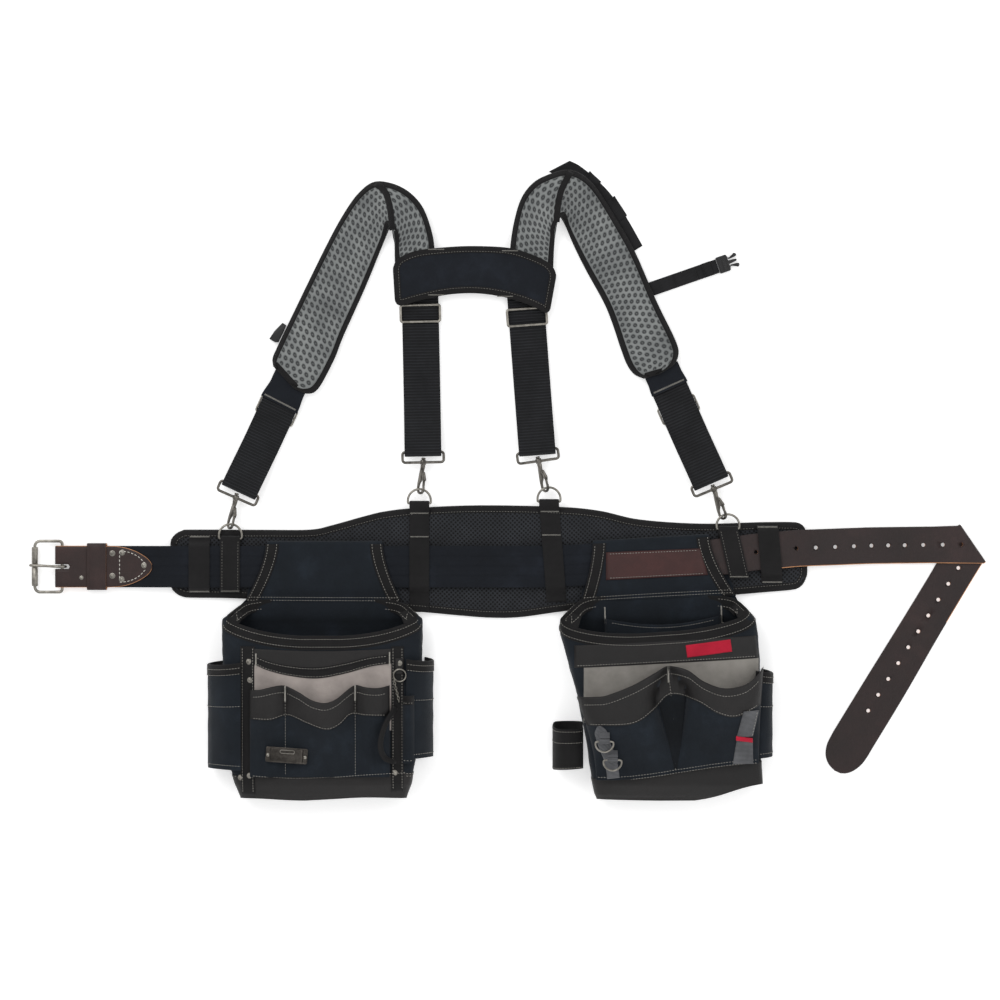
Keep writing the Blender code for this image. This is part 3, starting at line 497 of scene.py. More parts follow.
def edge_faces(i, count, row):
    """The faces that run round the rim of a sheet's rings."""
    return i in (count // 2 - 2, count // 2 - 1, count // 2, count - 2, count - 1, 0)


def sheet_piece(
    name, left, right, look, body, thick=0.0016, second=None, top=None, low=None, mark=edge_faces, **how
):
    rings, cloth = sheet_rings(left, right, top or level(thick / 2), low or level(thick / 2), **how)
    shape = Shape().loft(rings, cloth=cloth, mark=mark if second else None)
    return shape.make(name, look, body, second)


def earlier(name):
    """A piece made before, by its name."""
    return bpy.data.objects[name]


def tube_rings(path, radius, sides=12, loop=False):
    """Round sections along a path, turned as little as possible from one to the next."""
    path = [Vector(p) for p in path]
    count = len(path)
    rings, side = [], None
    for i, point in enumerate(path):
        before = path[i - 1] if i or loop else path[0]
        after = path[(i + 1) % count] if i < count - 1 or loop else path[-1]
        ahead = (after - before).normalized()
        if side is None:
            side = ahead.cross(Vector((0, 0, 1)))
            side = side if side.length > 0.2 else ahead.cross(Vector((1, 0, 0)))
        side = (side - ahead * side.dot(ahead)).normalized()
        up = side.cross(ahead)
        size = radius(i / max(count - 1, 1)) if callable(radius) else radius
        ring = []
        for k in range(sides):
            angle = 2 * math.pi * (k + 0.5) / sides
            ring.append(point + side * size * math.cos(angle) + up * size * math.sin(angle))
        rings.append(ring)
    return rings


def tube(name, path, radius, look, body, sides=12):
    """A closed ring of round wire."""
    return Shape().loft(tube_rings(path, radius, sides, loop=True), loop=True).make(name, look, body)


def turned_rings(centre, axis, profile, sides=24):
    """Rings of a turned shape: profile is (radius, height) along its axis."""
    axis = Vector(axis).normalized()
    side = axis.orthogonal().normalized()
    other = axis.cross(side)
    rings = []
    for radius, height in profile:
        middle = Vector(centre) + axis * height
        rings.append(
            [
                middle + (side * math.cos(a) + other * math.sin(a)) * max(radius, 0.00002)
                for a in (2 * math.pi * k / sides for k in range(sides))
            ]
        )
    return rings


class Ground:
    """What lies on top, as seen from above, among some pieces."""

    def __init__(self, *objects):
        points, faces = [], []
        bpy.context.view_layer.update()
        for obj in objects:
            start = len(points)
            points += [obj.matrix_world @ v.co for v in obj.data.vertices]
            faces += [tuple(start + i for i in p.vertices) for p in obj.data.polygons]
        self.tree = BVHTree.FromPolygons(points, faces)
        self.last = 0.01

    def height(self, x, y):
        hit = self.tree.ray_cast(Vector((x, y, SKY)), Vector((0, 0, -1)))[0]
        if hit is not None:
            self.last = hit.z
        return self.last

    def drop(self, path, lift=0.0):
        return [Vector((p[0], p[1], self.height(p[0], p[1]) + lift)) for p in path]


def beside(path, distance):
    """A path moved to its left, seen from above, by a distance."""
    moved = []
    for i, point in enumerate(path):
        ahead = path[min(i + 1, len(path) - 1)] - path[max(i - 1, 0)]
        side = Vector((-ahead.y, ahead.x, 0)).normalized()
        moved.append(Vector((point.x, point.y, point.z if len(point) > 2 else 0)) + side * distance)
    return moved


def flat_path(points, step=0.003, curved=True):
    """Evenly spaced points on the plane through (x, y) points."""
    points = [Vector((p[0], p[1], 0)) for p in points]
    if curved and len(points) > 2:
        points = smooth(points, 6)
    return even(points, max(int(length_of(points) / step) + 1, 3))


def laid(name, ground, left, right, look, body, thick=0.0009, inner=3, second=None, sink=0.0004, soft=2):
    """A flat band between two edges, laid on what is under it."""
    marks = across_marks(1.0, (0.0, 0.06), inner)
    heights = []
    for a, b in zip(left, right):
        heights.append([ground.height(*(a + (b - a) * t).xy) for t in marks])
    heights = np.array(heights)
    for _ in range(soft):
        middle = (heights[:-2] + 2 * heights[1:-1] + heights[2:]) / 4
        heights[1:-1] = np.maximum(middle, heights[1:-1])
    rings, cloth, travelled = [], [], 0.0
    for i, (a, b) in enumerate(zip(left, right)):
        if i:
            travelled += ((a + b) / 2 - (left[i - 1] + right[i - 1]) / 2).length
        upper, lower, places = [], [], []
        end = 0.55 if i in (0, len(left) - 1) else 1.0
        for t, z in zip(marks, heights[i]):
            spot = a + (b - a) * t
            edge = 0.55 if t in (0.0, 1.0) else 1.0
            upper.append(Vector((spot.x, spot.y, z + thick * min(edge, end))))
            lower.append(Vector((spot.x, spot.y, z - sink)))
            places.append((travelled, (b - a).length * t, 0.0))
        rings.append(upper + lower[::-1])
        cloth.append(places + places[::-1])
    shape = Shape().loft(rings, cloth=cloth, mark=edge_faces if second else None)
    return shape.make(name, look, body, second)


def laid_tape(name, ground, path, width, look, body, **how):
    path = flat_path(path) if len(path[0]) == 2 or how.pop("smoothed", True) else path
    return laid(name, ground, beside(path, width / 2), beside(path, -width / 2), look, body, **how)


# Thread. Stitches collect by body, and each body's become one piece.
STITCH, STITCH_GAP, THREAD_R = 0.0024, 0.0015, 0.00034
THREADS = {}


def dash(shape, a, b, radius=THREAD_R, rise=0.0003):
    """One stitch, its ends sunk in the cloth."""
    ahead = (b - a).normalized()
    side = Vector((-ahead.y, ahead.x, 0))
    side = side.normalized() if side.length > 0.1 else Vector((1, 0, 0))
    up = ahead.cross(side) * -1 if ahead.cross(side).z < 0 else ahead.cross(side)
    rings = []
    for t, size, height in (
        (0.0, 0.35, -0.6), (0.18, 0.9, 0.5), (0.5, 1.0, 1.0), (0.82, 0.9, 0.5), (1.0, 0.35, -0.6)
    ):
        middle = a + (b - a) * t + up * rise * height
        ring = []
        for k in range(6):
            angle = math.pi * (k + 0.5) / 3
            ring.append(middle + side * radius * size * math.cos(angle) + up * radius * size * math.sin(angle))
        rings.append(ring)
    shape.loft(rings)


def sew(body, path, radius=THREAD_R, stitch=STITCH, gap=STITCH_GAP):
    """Lockstitch along a path that already lies on the cloth."""
    path = [Vector(p) for p in path]
    total = length_of(path)
    count = max(int(total / (stitch + gap)), 1)
    spots = even(path, count * 4 + 1)
    part = stitch / (stitch + gap)
    shape = THREADS.setdefault((body, radius > THREAD_R), Shape())
    for i in range(count):
        a, c = spots[4 * i], spots[4 * i + 4]
        dash(shape, a, a + (c - a) * part, radius)


def sew_on(ground, body, points, curved=True, lift=0.00012, **how):
    sew(body, ground.drop(flat_path(points, 0.0025, curved), lift), **how)


def bartack(ground, body, a, b, width=0.0022):
    """Tight zigzag thread between two points."""
    a, b = Vector((*a, 0)), Vector((*b, 0))
    side = Vector((-(b - a).y, (b - a).x, 0)).normalized() * width / 2
    count = max(int((b - a).length / 0.00055), 4)
    shape = THREADS.setdefault((body, False), Shape())
    corners = []
    for i in range(count + 1):
        spot = a + (b - a) * i / count + side * (1 if i % 2 else -1)
        corners.append(Vector((spot.x, spot.y, ground.height(spot.x, spot.y) + 0.0003)))
    for p, q in zip(corners, corners[1:]):
        dash(shape, p, q, THREAD_R * 0.95, 0.0001)


def make_thread():
    """The belt's fine thread is greyer than the pouches', and heavy thread is white."""
    for (body, heavy), shape in THREADS.items():
        look = WHITE_THREAD if heavy else DIM_THREAD if body == "root" else THREAD
        shape.make(f"stitching_{body}" + "_heavy" * heavy, look, body)


RIVETS = {}
RIVET_PROFILE = (
    (0.0, 0.0013), (0.28, 0.00125), (0.62, 0.0009), (0.88, 0.0004), (1.0, 0.0001), (1.0, -0.0006),
    (0.0, -0.0006),
)


def rivet(ground, body, x, y, radius=0.003):
    """A domed cap with a slight collar under it."""
    z = ground.height(x, y)
    profile = [(r * radius, h * radius / 0.0028) for r, h in RIVET_PROFILE]
    shape = RIVETS.setdefault(body, Shape())
    shape.loft(turned_rings((x, y, z), (0, 0, 1), profile, 20))
    collar = [(radius * 1.35, -0.0002), (radius * 1.35, 0.0002), (radius * 1.05, 0.0004), (0.0, 0.0004)]
    shape.loft(turned_rings((x, y, z), (0, 0, 1), collar, 20))


def make_rivets():
    for body, shape in RIVETS.items():
        shape.make(f"rivets_{body}", NICKEL, body, sharp=50)


def binding(name, edge, inward, half, width, look, body, loop=True):
    """Tape folded round the edge of a sheet. edge holds its points, inward the directions into the sheet, and
    half its half thickness there and at the tape's inner edge."""
    rings, thick = [], 0.0009
    count = len(edge)
    for i, point in enumerate(edge):
        before = edge[i - 1] if i or loop else edge[0]
        after = edge[(i + 1) % count] if i < count - 1 or loop else edge[-1]
        into = inward[i]
        normal = (after - before).cross(into).normalized()
        normal = -normal if normal.z < 0 else normal
        rim, inner = half(i)
        upper = [
            (width, inner + 0.0001), (width - 0.0005, inner + thick), (width * 0.5, (rim + inner) / 2 + thick),
            (0.0016, rim + thick), (0.0, rim * 0.75 + thick * 0.6), (-thick * 0.8, rim * 0.3),
        ]
        under = [(d, -h) for d, h in reversed(upper)]
        section = upper + under
        rings.append([point + into * d + normal * h for d, h in section])
    return Shape().loft(rings, loop=loop).make(name, look, body)


def punch(obj, spots, radius, reach=0.02):
    """Round holes through a piece, along its local up direction at each spot."""
    shape = Shape()
    for spot, axis in spots:
        profile = [(radius, -reach / 2), (radius, reach / 2)]
        shape.loft(turned_rings(spot, axis, profile, 18))
    cutter = shape.make(f"{obj.name}_cutter", RAW_EDGE, "root")
    step = obj.modifiers.new("holes", "BOOLEAN")
    step.operation = "DIFFERENCE"
    step.object = cutter
    bpy.context.view_layer.update()
    graph = bpy.context.evaluated_depsgraph_get()
    mesh = bpy.data.meshes.new_from_object(obj.evaluated_get(graph))
    obj.modifiers.clear()
    obj.data = mesh
    bpy.data.objects.remove(cutter)
    return obj


# The suspenders: each strap's eye, its direction up, its ring, its hook's catch and its lengths.
HARNESS = {
    "front_left": dict(
        eye=(-0.377, -0.0267), eye_up=(0.4, 0.9165), up=(0.4214, 0.9069), ring_x=-0.3847, bar_y=-0.0831,
        catch=(-0.3847, -0.0633), length=0.18, back=0.115, slider=0.118, proud=False,
    ),
    "back_left": dict(
        eye=(-0.118, 0.0222), eye_up=(-0.02, 1.0), up=(-0.02, 0.9998), ring_x=-0.1233, bar_y=-0.0346,
        catch=(-0.1215, -0.0148), length=0.226, back=0.176, slider=0.192, proud=True,
    ),
    "back_right": dict(
        eye=(0.0416, 0.024), eye_up=(-0.14, 0.99), up=(-0.0752, 0.9972), ring_x=0.056, bar_y=-0.0322,
        catch=(0.0508, -0.0126), length=0.226, back=0.172, slider=0.186, proud=True,
    ),
    "front_right": dict(
        eye=(0.284, -0.0148), eye_up=(-0.383, 0.924), up=(-0.4019, 0.9157), ring_x=0.3035, bar_y=-0.0694,
        catch=(0.296, -0.0497), length=0.168, back=0.103, slider=0.106, proud=False,
    ),
}
# The ring loops' lower ends, and whether their long sides are sewn.
LOOPS = {
    "front_left": (-0.385, -0.158, True), "back_left": (-0.1233, -0.185, False),
    "back_right": (0.0665, -0.171, False), "front_right": (0.319, -0.138, True),
}


# The back pad and the belt
PAD_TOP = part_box("belt_pad")[1].z
BELT_LOW, BELT_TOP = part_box("belt_core")[1].z - 0.0045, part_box("belt_core")[1].z
PAD_UPPER = [
    (-0.468, -0.09), (-0.4665, -0.0835), (-0.46, -0.0765), (-0.452, -0.0727), (-0.442, -0.0715),
    (-0.34, -0.0718), (-0.275, -0.0715), (-0.245, -0.0655), (-0.2, -0.053), (-0.17, -0.046), (-0.125, -0.0412),
    (-0.04, -0.0378), (0.071, -0.04), (0.127, -0.0455), (0.182, -0.0575), (0.266, -0.0632), (0.349, -0.0612),
    (0.392, -0.061), (0.404, -0.063), (0.41, -0.069), (0.4135, -0.079),
]
PAD_LOWER = [
    (-0.468, -0.145), (-0.4665, -0.152), (-0.46, -0.159), (-0.452, -0.163), (-0.44, -0.1645), (-0.366, -0.166),
    (-0.25, -0.1745), (-0.125, -0.184), (-0.07, -0.189), (-0.026, -0.1922), (0.016, -0.1915), (0.071, -0.184),
    (0.15, -0.175), (0.25, -0.166), (0.349, -0.1575), (0.39, -0.154), (0.402, -0.151), (0.409, -0.144),
    (0.4135, -0.133),
]
# The D-rings' height and shape, the webbing's half width, and the eye's height over its bar.
RING_Z, RING_HALF, RING_RISE, RING_CORNER = 0.0142, 0.0159, 0.0198, 0.0022
STRAP_HALF, EYE_HEIGHT = 0.0254, 0.0145
SAGS = {"from": -0.47, "to": -0.55, "by": 0.0063}


def sagging(x):
    """How far the belt has come down, left of its pad."""
    return SAGS["by"] * ease((SAGS["from"] - x) / (SAGS["from"] - SAGS["to"]))


def belt_line(x):
    """The middle of the belt across, which rises a little towards the free end."""
    xs = (-0.7, 0.05, 0.2, 0.277, 0.34, 0.4, 0.5, 0.7)
    ys = (-0.122, -0.122, -0.115, -0.1105, -0.102, -0.0965, -0.093, -0.0905)
    return float(np.interp(x, xs, ys))


def pad_edge(step=0.005):
    """The pad's outline, closed, with the directions into it."""
    upper = smooth([(*p, 0) for p in PAD_UPPER], 6)
    lower = smooth([(*p, 0) for p in PAD_LOWER], 6)
    closed = upper + lower[::-1]
    count = int((length_of(closed) + (closed[-1] - closed[0]).length) / step)
    edge = even([*closed, closed[0]], count)[:-1]
    inward = []
    for i in range(len(edge)):
        ahead = edge[(i + 1) % len(edge)] - edge[i - 1]
        inward.append(Vector((ahead.y, -ahead.x, 0)).normalized())
    return edge, inward


def make_pad():
    """The back pad in mesh, and the binding round it."""
    upper, lower = smooth([(*p, 0) for p in PAD_UPPER], 5), smooth([(*p, 0) for p in PAD_LOWER], 5)
    top_y, low_y = along_x(upper), along_x(lower)
    xs = [
        -0.468, -0.4675, -0.4665, -0.4645, -0.462, -0.458, -0.452, *np.linspace(-0.445, 0.398, 190), 0.403,
        0.4065, 0.4095, 0.4115, 0.4128, 0.4135,
    ]
    left = [Vector((x, low_y(x), 0.005)) for x in xs]
    right = [Vector((x, top_y(x), 0.005)) for x in xs]

    def top(d, s, t):
        soft = 0.002 + 0.0023 * ease(d / 0.007)
        swell = 0.0006 * ease((d - 0.009) / 0.012)
        return soft + swell + 0.00025 * ripple(s, t * 0.15, 0.03)

    pad = sheet_piece(
        "back_pad", left, right, PAD_NET, "root", top=top, low=lambda d, s, t: 0.002 + 0.0029 * ease(d / 0.007),
        inner=34, edge=(0.0, 0.001, 0.003, 0.0065, 0.01),
    )
    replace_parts(pad, "belt_pad")
    edge, inward = pad_edge()
    for point in edge:
        point.z = 0.005
    tape = binding("back_pad_binding", edge, inward, lambda i: (0.0022, 0.0042), 0.0098, TAPE, "root")
    return pad, tape


def make_core():
    """The belt proper: a padded strap in four sewn channels."""
    left, right = [], []
    for x in [-0.6, -0.5992, -0.597, *np.linspace(-0.593, 0.226, 150), 0.2272, 0.228]:
        z = (BELT_LOW + BELT_TOP) / 2 - sagging(x)
        left.append(Vector((x, belt_line(x) - 0.0287, z)))
        right.append(Vector((x, belt_line(x) + 0.0287, z)))
    seams = (0.265, 0.5, 0.735)

    def top(d, s, t):
        groove = min(abs(t - seam) for seam in seams) * 0.0574
        height = 0.00225 - 0.001 * math.exp(-((groove / 0.0016) ** 2))
        return height * (0.5 + 0.5 * ease(d / 0.004)) + 0.00012 * ripple(s, t * 0.06, 0.012, 3)

    low = lambda d, s, t: 0.00215 * (0.5 + 0.5 * ease(d / 0.003))
    core = sheet_piece("belt", left, right, BELT_CLOTH, "root", top=top, low=low, inner=36)
    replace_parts(core, "belt_core")
    return core


def sew_belt(ground):
    """Thread along the pad's binding, where nothing covers it."""
    edge, inward = pad_edge(0.003)
    inset = [point + into * 0.0078 for point, into in zip(edge, inward)]
    line = ground.drop([*inset, inset[0]], 0.00012)
    high = [p.z > PAD_TOP + 0.0022 for p in line]
    run = []
    for point, hidden in zip(line, high):
        if hidden:
            if len(run) > 3:
                sew("root", run)
            run = []
        else:
            run.append(point)
    if len(run) > 3:
        sew("root", run)


def over_belt(x_top, y_top, x_low, y_low, swell=0.0):
    """A strip's path down over the belt, resting on the pad above and below it."""
    low = PAD_TOP + 0.0007
    high = BELT_TOP + 0.0011 + swell
    upper, lower = belt_line(x_top) + 0.0285, belt_line(x_top) - 0.0285
    path = []
    for y in np.linspace(y_top, y_low, 44):
        x = x_top + (x_low - x_top) * (y_top - y) / (y_top - y_low)
        climb = ease((upper + 0.01 - y) / 0.011) * ease((y - lower + 0.01) / 0.011)
        path.append(Vector((x, float(y), low + (high - low) * climb)))
    return path


def strip_edges(path, half):
    """The edges of a strip that runs down the page."""
    side = Vector((half, 0, 0))
    return [p - side for p in path], [p + side for p in path]


def make_outer_loops():
    """The two tape loops over the belt outside the pouches, tacked down at both ends."""
    for name, route, half in (
        ("outer_left_loop", (-0.4275, -0.079, -0.4275, -0.158), 0.0145),
        ("outer_right_loop", (0.358, -0.0655, 0.365, -0.145), 0.0145),
    ):
        left, right = strip_edges(over_belt(*route), half)
        piece = sheet_piece(f"{name}_tape", left, right, LOOP_TAPE, "root", 0.0015, inner=6)
        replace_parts(piece, name)
        ground = Ground(piece)
        for x, y, lift in ((route[0], route[1], -0.0016), (route[2], route[3], 0.0016)):
            bartack(ground, "root", (x - half + 0.001, y + lift), (x + half - 0.001, y + lift))


def make_ring_loops():
    """Strips folded round the bars of the D-rings, over the belt and sewn down at the pad's lower edge."""
    for side, (x_low, y_low, sewn_sides) in LOOPS.items():
        ring = HARNESS[side]
        radius = 0.0016 + 0.0007 + 0.00075
        path = [
            Vector((ring["ring_x"], ring["bar_y"] - back, RING_Z - radius)) for back in (0.0155, 0.004)
        ]
        for step in range(13):
            angle = -math.pi / 2 + math.pi * step / 12
            path.append(
                Vector(
                    (
                        ring["ring_x"], ring["bar_y"] + radius * math.cos(angle),
                        RING_Z + radius * math.sin(angle),
                    )
                )
            )
        lower = over_belt(ring["ring_x"], ring["bar_y"] - 0.001, x_low, y_low)
        start = Vector((ring["ring_x"], ring["bar_y"], RING_Z + radius))
        for point in lower[1:]:
            fade = ease((ring["bar_y"] - point.y) / 0.018)
            point.z = start.z + (point.z - start.z) * fade
            path.append(point)
        left, right = strip_edges(path, 0.0137)
        piece = sheet_piece(f"{side}_ring_strip", left, right, LOOP_TAPE, "root", 0.0015, inner=6)
        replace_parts(piece, f"{side}_ring_loop")
        ground = Ground(piece)

        def at(share, down):
            y = ring["bar_y"] - down
            x = ring["ring_x"] + (x_low - ring["ring_x"]) * down / (ring["bar_y"] - y_low)
            return (x + share * 0.0137, y)

        reach = ring["bar_y"] - y_low
        for down in (reach - 0.0022,) if sewn_sides else (0.0135, 0.046):
            bartack(ground, "root", at(-0.92, down), at(0.92, down), 0.002)
        if sewn_sides:
            for share in (-0.8, 0.8):
                sew_on(ground, "root", [at(share, 0.004), at(share, reach / 2), at(share, reach - 0.003)])


def tail_height(x):
    over_pad = BELT_LOW + 0.00225 - 0.0004
    return over_pad + (0.0063 - over_pad) * ease((x - 0.415) / 0.11)


def make_tail():
    """The strap's free end: leather that runs right, folds under at a slant and lies back."""
    thick, half = 0.0028, 0.0254
    left, right = [], []
    for x in np.linspace(0.23, 0.59, 64):
        tilt = math.atan2(belt_line(x + 0.02) - belt_line(x - 0.02), 0.04)
        wave = 0.0004 * ripple(x, 0.0, 0.06, 9)
        middle = Vector((x, belt_line(x), tail_height(x) + wave))
        side = Vector((-math.sin(tilt), math.cos(tilt), 0)) * half
        left.append(middle - side)
        right.append(middle + side)
    fold_high, fold_low = Vector((0.625, -0.064, 0)), Vector((0.661, -0.1165, 0))
    top, low = tail_height(0.59), thick / 2 + 0.0002
    middle, radius = (top + low) / 2, (top - low) / 2
    crease = (fold_high - fold_low).normalized()
    out = Vector((crease.y, -crease.x, 0))
    lift = Vector((0, 0, top))
    for edge, crease_end in ((left, fold_low), (right, fold_high)):
        start = edge[-1]
        edge += [start.lerp(crease_end - out * radius + lift, share) for share in (0.3, 0.6, 0.85)]
    for step in range(13):
        angle = math.pi / 2 - math.pi * step / 12
        push = out * (radius * math.cos(angle) - radius)
        lift = Vector((0, 0, middle + radius * math.sin(angle)))
        left.append(fold_low + push + lift)
        right.append(fold_high + push + lift)
    ends = [
        (0.593, -0.119, 0.654, -0.123), (0.55, -0.19, 0.6, -0.213), (0.501, -0.269, 0.551, -0.298),
        (0.458, -0.339, 0.508, -0.369), (0.448, -0.356, 0.4965, -0.388), (0.4415, -0.37, 0.488, -0.3985),
        (0.44, -0.384, 0.4775, -0.406), (0.444, -0.396, 0.468, -0.409), (0.452, -0.405, 0.46, -0.4088),
    ]
    under_r = smooth([right[-1], *[(a, b, low) for a, b, _, _ in ends]], 7)
    under_l = smooth([left[-1], *[(c, d, low) for _, _, c, d in ends]], 7)
    for p in under_r + under_l:
        p.z = low
    left += under_l[1:]
    right += under_r[1:]
    bare_rows = range(25, 92)

    def bare(i, count, row):
        return row in bare_rows and i in (count - 2, count - 1, 0)

    tail = sheet_piece(
        "strap_end", left, right, STRAP, "root", thick, second=RAW_EDGE, inner=10,
        edge=(0.0, 0.001, 0.002, 0.004), mark=bare,
    )
    holes = [
        (x, belt_line(x), 0)
        for x in (0.342, 0.3977, 0.4249, 0.4518, 0.4782, 0.5027, 0.5261, 0.549, 0.5746, 0.6017)
    ]
    holes.append((0.627, belt_line(0.627), 0))
    for k in range(10):
        t = k / 9
        holes.append((0.624 + (0.499 - 0.624) * t, -0.124 + (-0.322 + 0.124) * t, low))
    punch(tail, [(Vector((x, y, z if z else tail_height(x))), (0, 0, 1)) for x, y, z in holes], 0.0027, 0.005)
    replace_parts(tail, "belt_tail")
    return tail


def make_buckle_end():
    """Leather folded round the buckle's bar, its upper layer cut to a tongue and sewn and riveted."""
    thick, half = 0.0029, 0.0288
    bar = Vector((-0.6175, BELT_MIDDLE, BELT_LOW - SAGS["by"] + 0.00225))
    radius = 0.00225 + 0.0003 + thick / 2
    fold_x = -0.6225
    left, right = [], []

    def station(x, z, width):
        left.append(Vector((x, BELT_MIDDLE - width, z)))
        right.append(Vector((x, BELT_MIDDLE + width, z)))

    for x in np.linspace(-0.556, -0.6125, 14):
        station(x, bar.z - radius, half)
    for step in range(17):
        angle = -math.pi / 2 - math.pi * step / 16
        station(fold_x + radius * math.cos(angle), bar.z + radius * math.sin(angle), half)
    shape = [
        (-0.6125, half), (-0.59, half), (-0.56, half), (-0.548, 0.0286), (-0.538, 0.0277), (-0.526, 0.0252),
        (-0.514, 0.0208), (-0.504, 0.0152), (-0.4968, 0.0094), (-0.4928, 0.003),
    ]
    widths = smooth([(x, w, 0) for x, w in shape], 5)
    for p in widths:
        station(p.x, bar.z + radius + SAGS["by"] - sagging(p.x), p.y)
    tab = sheet_piece(
        "buckle_leather", left, right, TAB, "root", thick, second=RAW_EDGE, inner=10,
        edge=(0.0, 0.0006, 0.0016, 0.004),
    )
    slot = Shape().loft(
        [
            [
                Vector((x, BELT_MIDDLE + y, z))
                for x, y in (
                    (-0.64, -0.0033), (-0.6088, -0.0033), (-0.6068, 0.0), (-0.6088, 0.0033), (-0.64, 0.0033),
                    (-0.641, 0.0),
                )
            ]
            for z in (0.0, 0.03)
        ]
    )
    cutter = slot.make("slot_cutter", TAB, "root")
    step = tab.modifiers.new("slot", "BOOLEAN")
    step.operation, step.object = "DIFFERENCE", cutter
    bpy.context.view_layer.update()
    tab.data = bpy.data.meshes.new_from_object(tab.evaluated_get(bpy.context.evaluated_depsgraph_get()))
    tab.modifiers.clear()
    bpy.data.objects.remove(cutter)
    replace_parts(tab, "buckle_tab")
    ground = Ground(tab)
    y = BELT_MIDDLE
    heavy = {"radius": 0.0006, "stitch": 0.0034, "gap": 0.0018}
    sew_on(ground, "root", [(-0.5378, y + 0.0215), (-0.5378, y), (-0.5378, y - 0.0185)], curved=False, **heavy)
    for sign in (1, -1):
        sew_on(
            ground, "root",
            [
                (-0.5378, y + sign * 0.0215), (-0.526, y + sign * 0.0202), (-0.512, y + sign * 0.0142),
                (-0.5006, y + sign * 0.003),
            ],
            **heavy,
        )
    for x, dy in (
        (-0.5478, 0.0214), (-0.5478, -0.0147), (-0.534, 0.0226), (-0.5347, -0.0205), (-0.5034, 0.0022)
    ):
        rivet(ground, "root", x, y + dy * 0.86, 0.003)
    rivet(ground, "root", -0.5906, y - 0.0153, 0.0021)
    return tab


def make_keeper():
    """A closed leather loop round the folded tab, with a pressed line along each edge."""
    low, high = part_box("belt_keeper")
    thick = 0.0023
    half = (high.y - low.y) / 2 - thick / 2 - 0.0001
    centre_y, centre_z = (high.y + low.y) / 2, (high.z + low.z) / 2
    half_z = (high.z - low.z) / 2 - thick / 2 - 0.0001
    path = []
    for k in range(72):
        angle = 2 * math.pi * k / 72
        c, s = math.cos(angle), math.sin(angle)
        y = half * math.copysign(abs(c) ** 0.16, c)
        z = half_z * math.copysign(abs(s) ** 0.3, s)
        path.append(Vector((0, centre_y + y, centre_z + z)))
    path = even([*path, path[0]], 120)[:-1]
    rings = []
    for i, point in enumerate(path):
        ahead = path[(i + 1) % len(path)] - path[i - 1]
        out = Vector((0, ahead.z, -ahead.y)).normalized()
        if out.dot(point - Vector((0, centre_y, centre_z))) < 0:
            out = -out
        ring = []
        width = high.x - low.x
        marks = ((0.0, 0.6), (0.0006, 1.0), (0.0022, 1.0), (0.0027, 0.72), (0.0032, 1.0))
        upper = [(d, h) for d, h in marks] + [(width - d, h) for d, h in reversed(marks)]
        for d, h in upper:
            ring.append(point + Vector((low.x + d, 0, 0)) + out * thick / 2 * h)
        for d, h in reversed(upper):
            ring.append(point + Vector((low.x + d, 0, 0)) - out * thick / 2)
        rings.append(ring)
    keeper = Shape().loft(rings, loop=True, mark=lambda i, n, row: i in (n // 2 - 1, n - 1)).make(
        "keeper_loop", TAB, "belt_keeper", RAW_EDGE
    )
    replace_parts(keeper, "belt_keeper")


# Suspenders
def web_edges(spec):
    """The strap's edges: the lower layer from its end, round the eye's bar, then the upper layer."""
    fold, ramp_length = 0.0031, 0.075
    low_z, high_z = 0.0011, 0.0059
    up = Vector((*spec["up"], 0)).normalized()
    bar = Vector((*spec["eye"], 0)) + Vector((*spec["eye_up"], 0)).normalized() * EYE_HEIGHT

    def at(distance, z):
        place = bar + up * distance
        return Vector((place.x, place.y, z))

    def high(distance):
        return high_z + (RING_Z + fold - high_z) * ease(1 - distance / ramp_length)

    def low(distance):
        return low_z + (RING_Z - fold - low_z) * ease(1 - distance / ramp_length)

    path = [at(d, low(d)) for d in np.linspace(spec["back"], 0.0015, 40)]
    for step in range(13):
        angle = -math.pi / 2 - math.pi * step / 12
        path.append(at(-0.0025 + fold * math.cos(angle), RING_Z + fold * math.sin(angle)))
    path += [at(d, high(d)) for d in np.linspace(0.0015, spec["length"], 70)]
    side = Vector((up.y, -up.x, 0))
    return [p - side * STRAP_HALF for p in path], [p + side * STRAP_HALF for p in path]


def make_webbing(name, spec):
    left, right = web_edges(spec)

    def face(d, s, t):
        return 0.0008 * (0.6 + 0.4 * ease(d / 0.002))

    strap = sheet_piece(f"{name}_strap", left, right, WEB, "root", inner=14, top=face, low=face)
    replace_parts(strap, f"{name}_webbing")
    return strap


def ring_path(x, bar_y):
    """A D-ring's centre line: the bow, then the straight bar between two round corners."""

    def corner(sign, start):
        centre_x, centre_y = x + sign * (RING_HALF - RING_CORNER), bar_y + RING_CORNER
        for k in range(1, 5):
            angle = start + math.pi / 2 * k / 5
            across, rise = RING_CORNER * math.cos(angle), RING_CORNER * math.sin(angle)
            points.append(Vector((centre_x + across, centre_y + rise, RING_Z)))

    points = []
    for step in range(25):
        angle = math.pi * step / 24
        rise = bar_y + 0.004 + (RING_RISE - 0.004) * math.sin(angle)
        points.append(Vector((x + RING_HALF * math.cos(angle), rise, RING_Z)))
    corner(-1, math.pi)
    for t in np.linspace(-0.8, 0.8, 9):
        points.append(Vector((x + t * (RING_HALF - RING_CORNER), bar_y, RING_Z)))
    corner(1, -math.pi / 2)
    return points


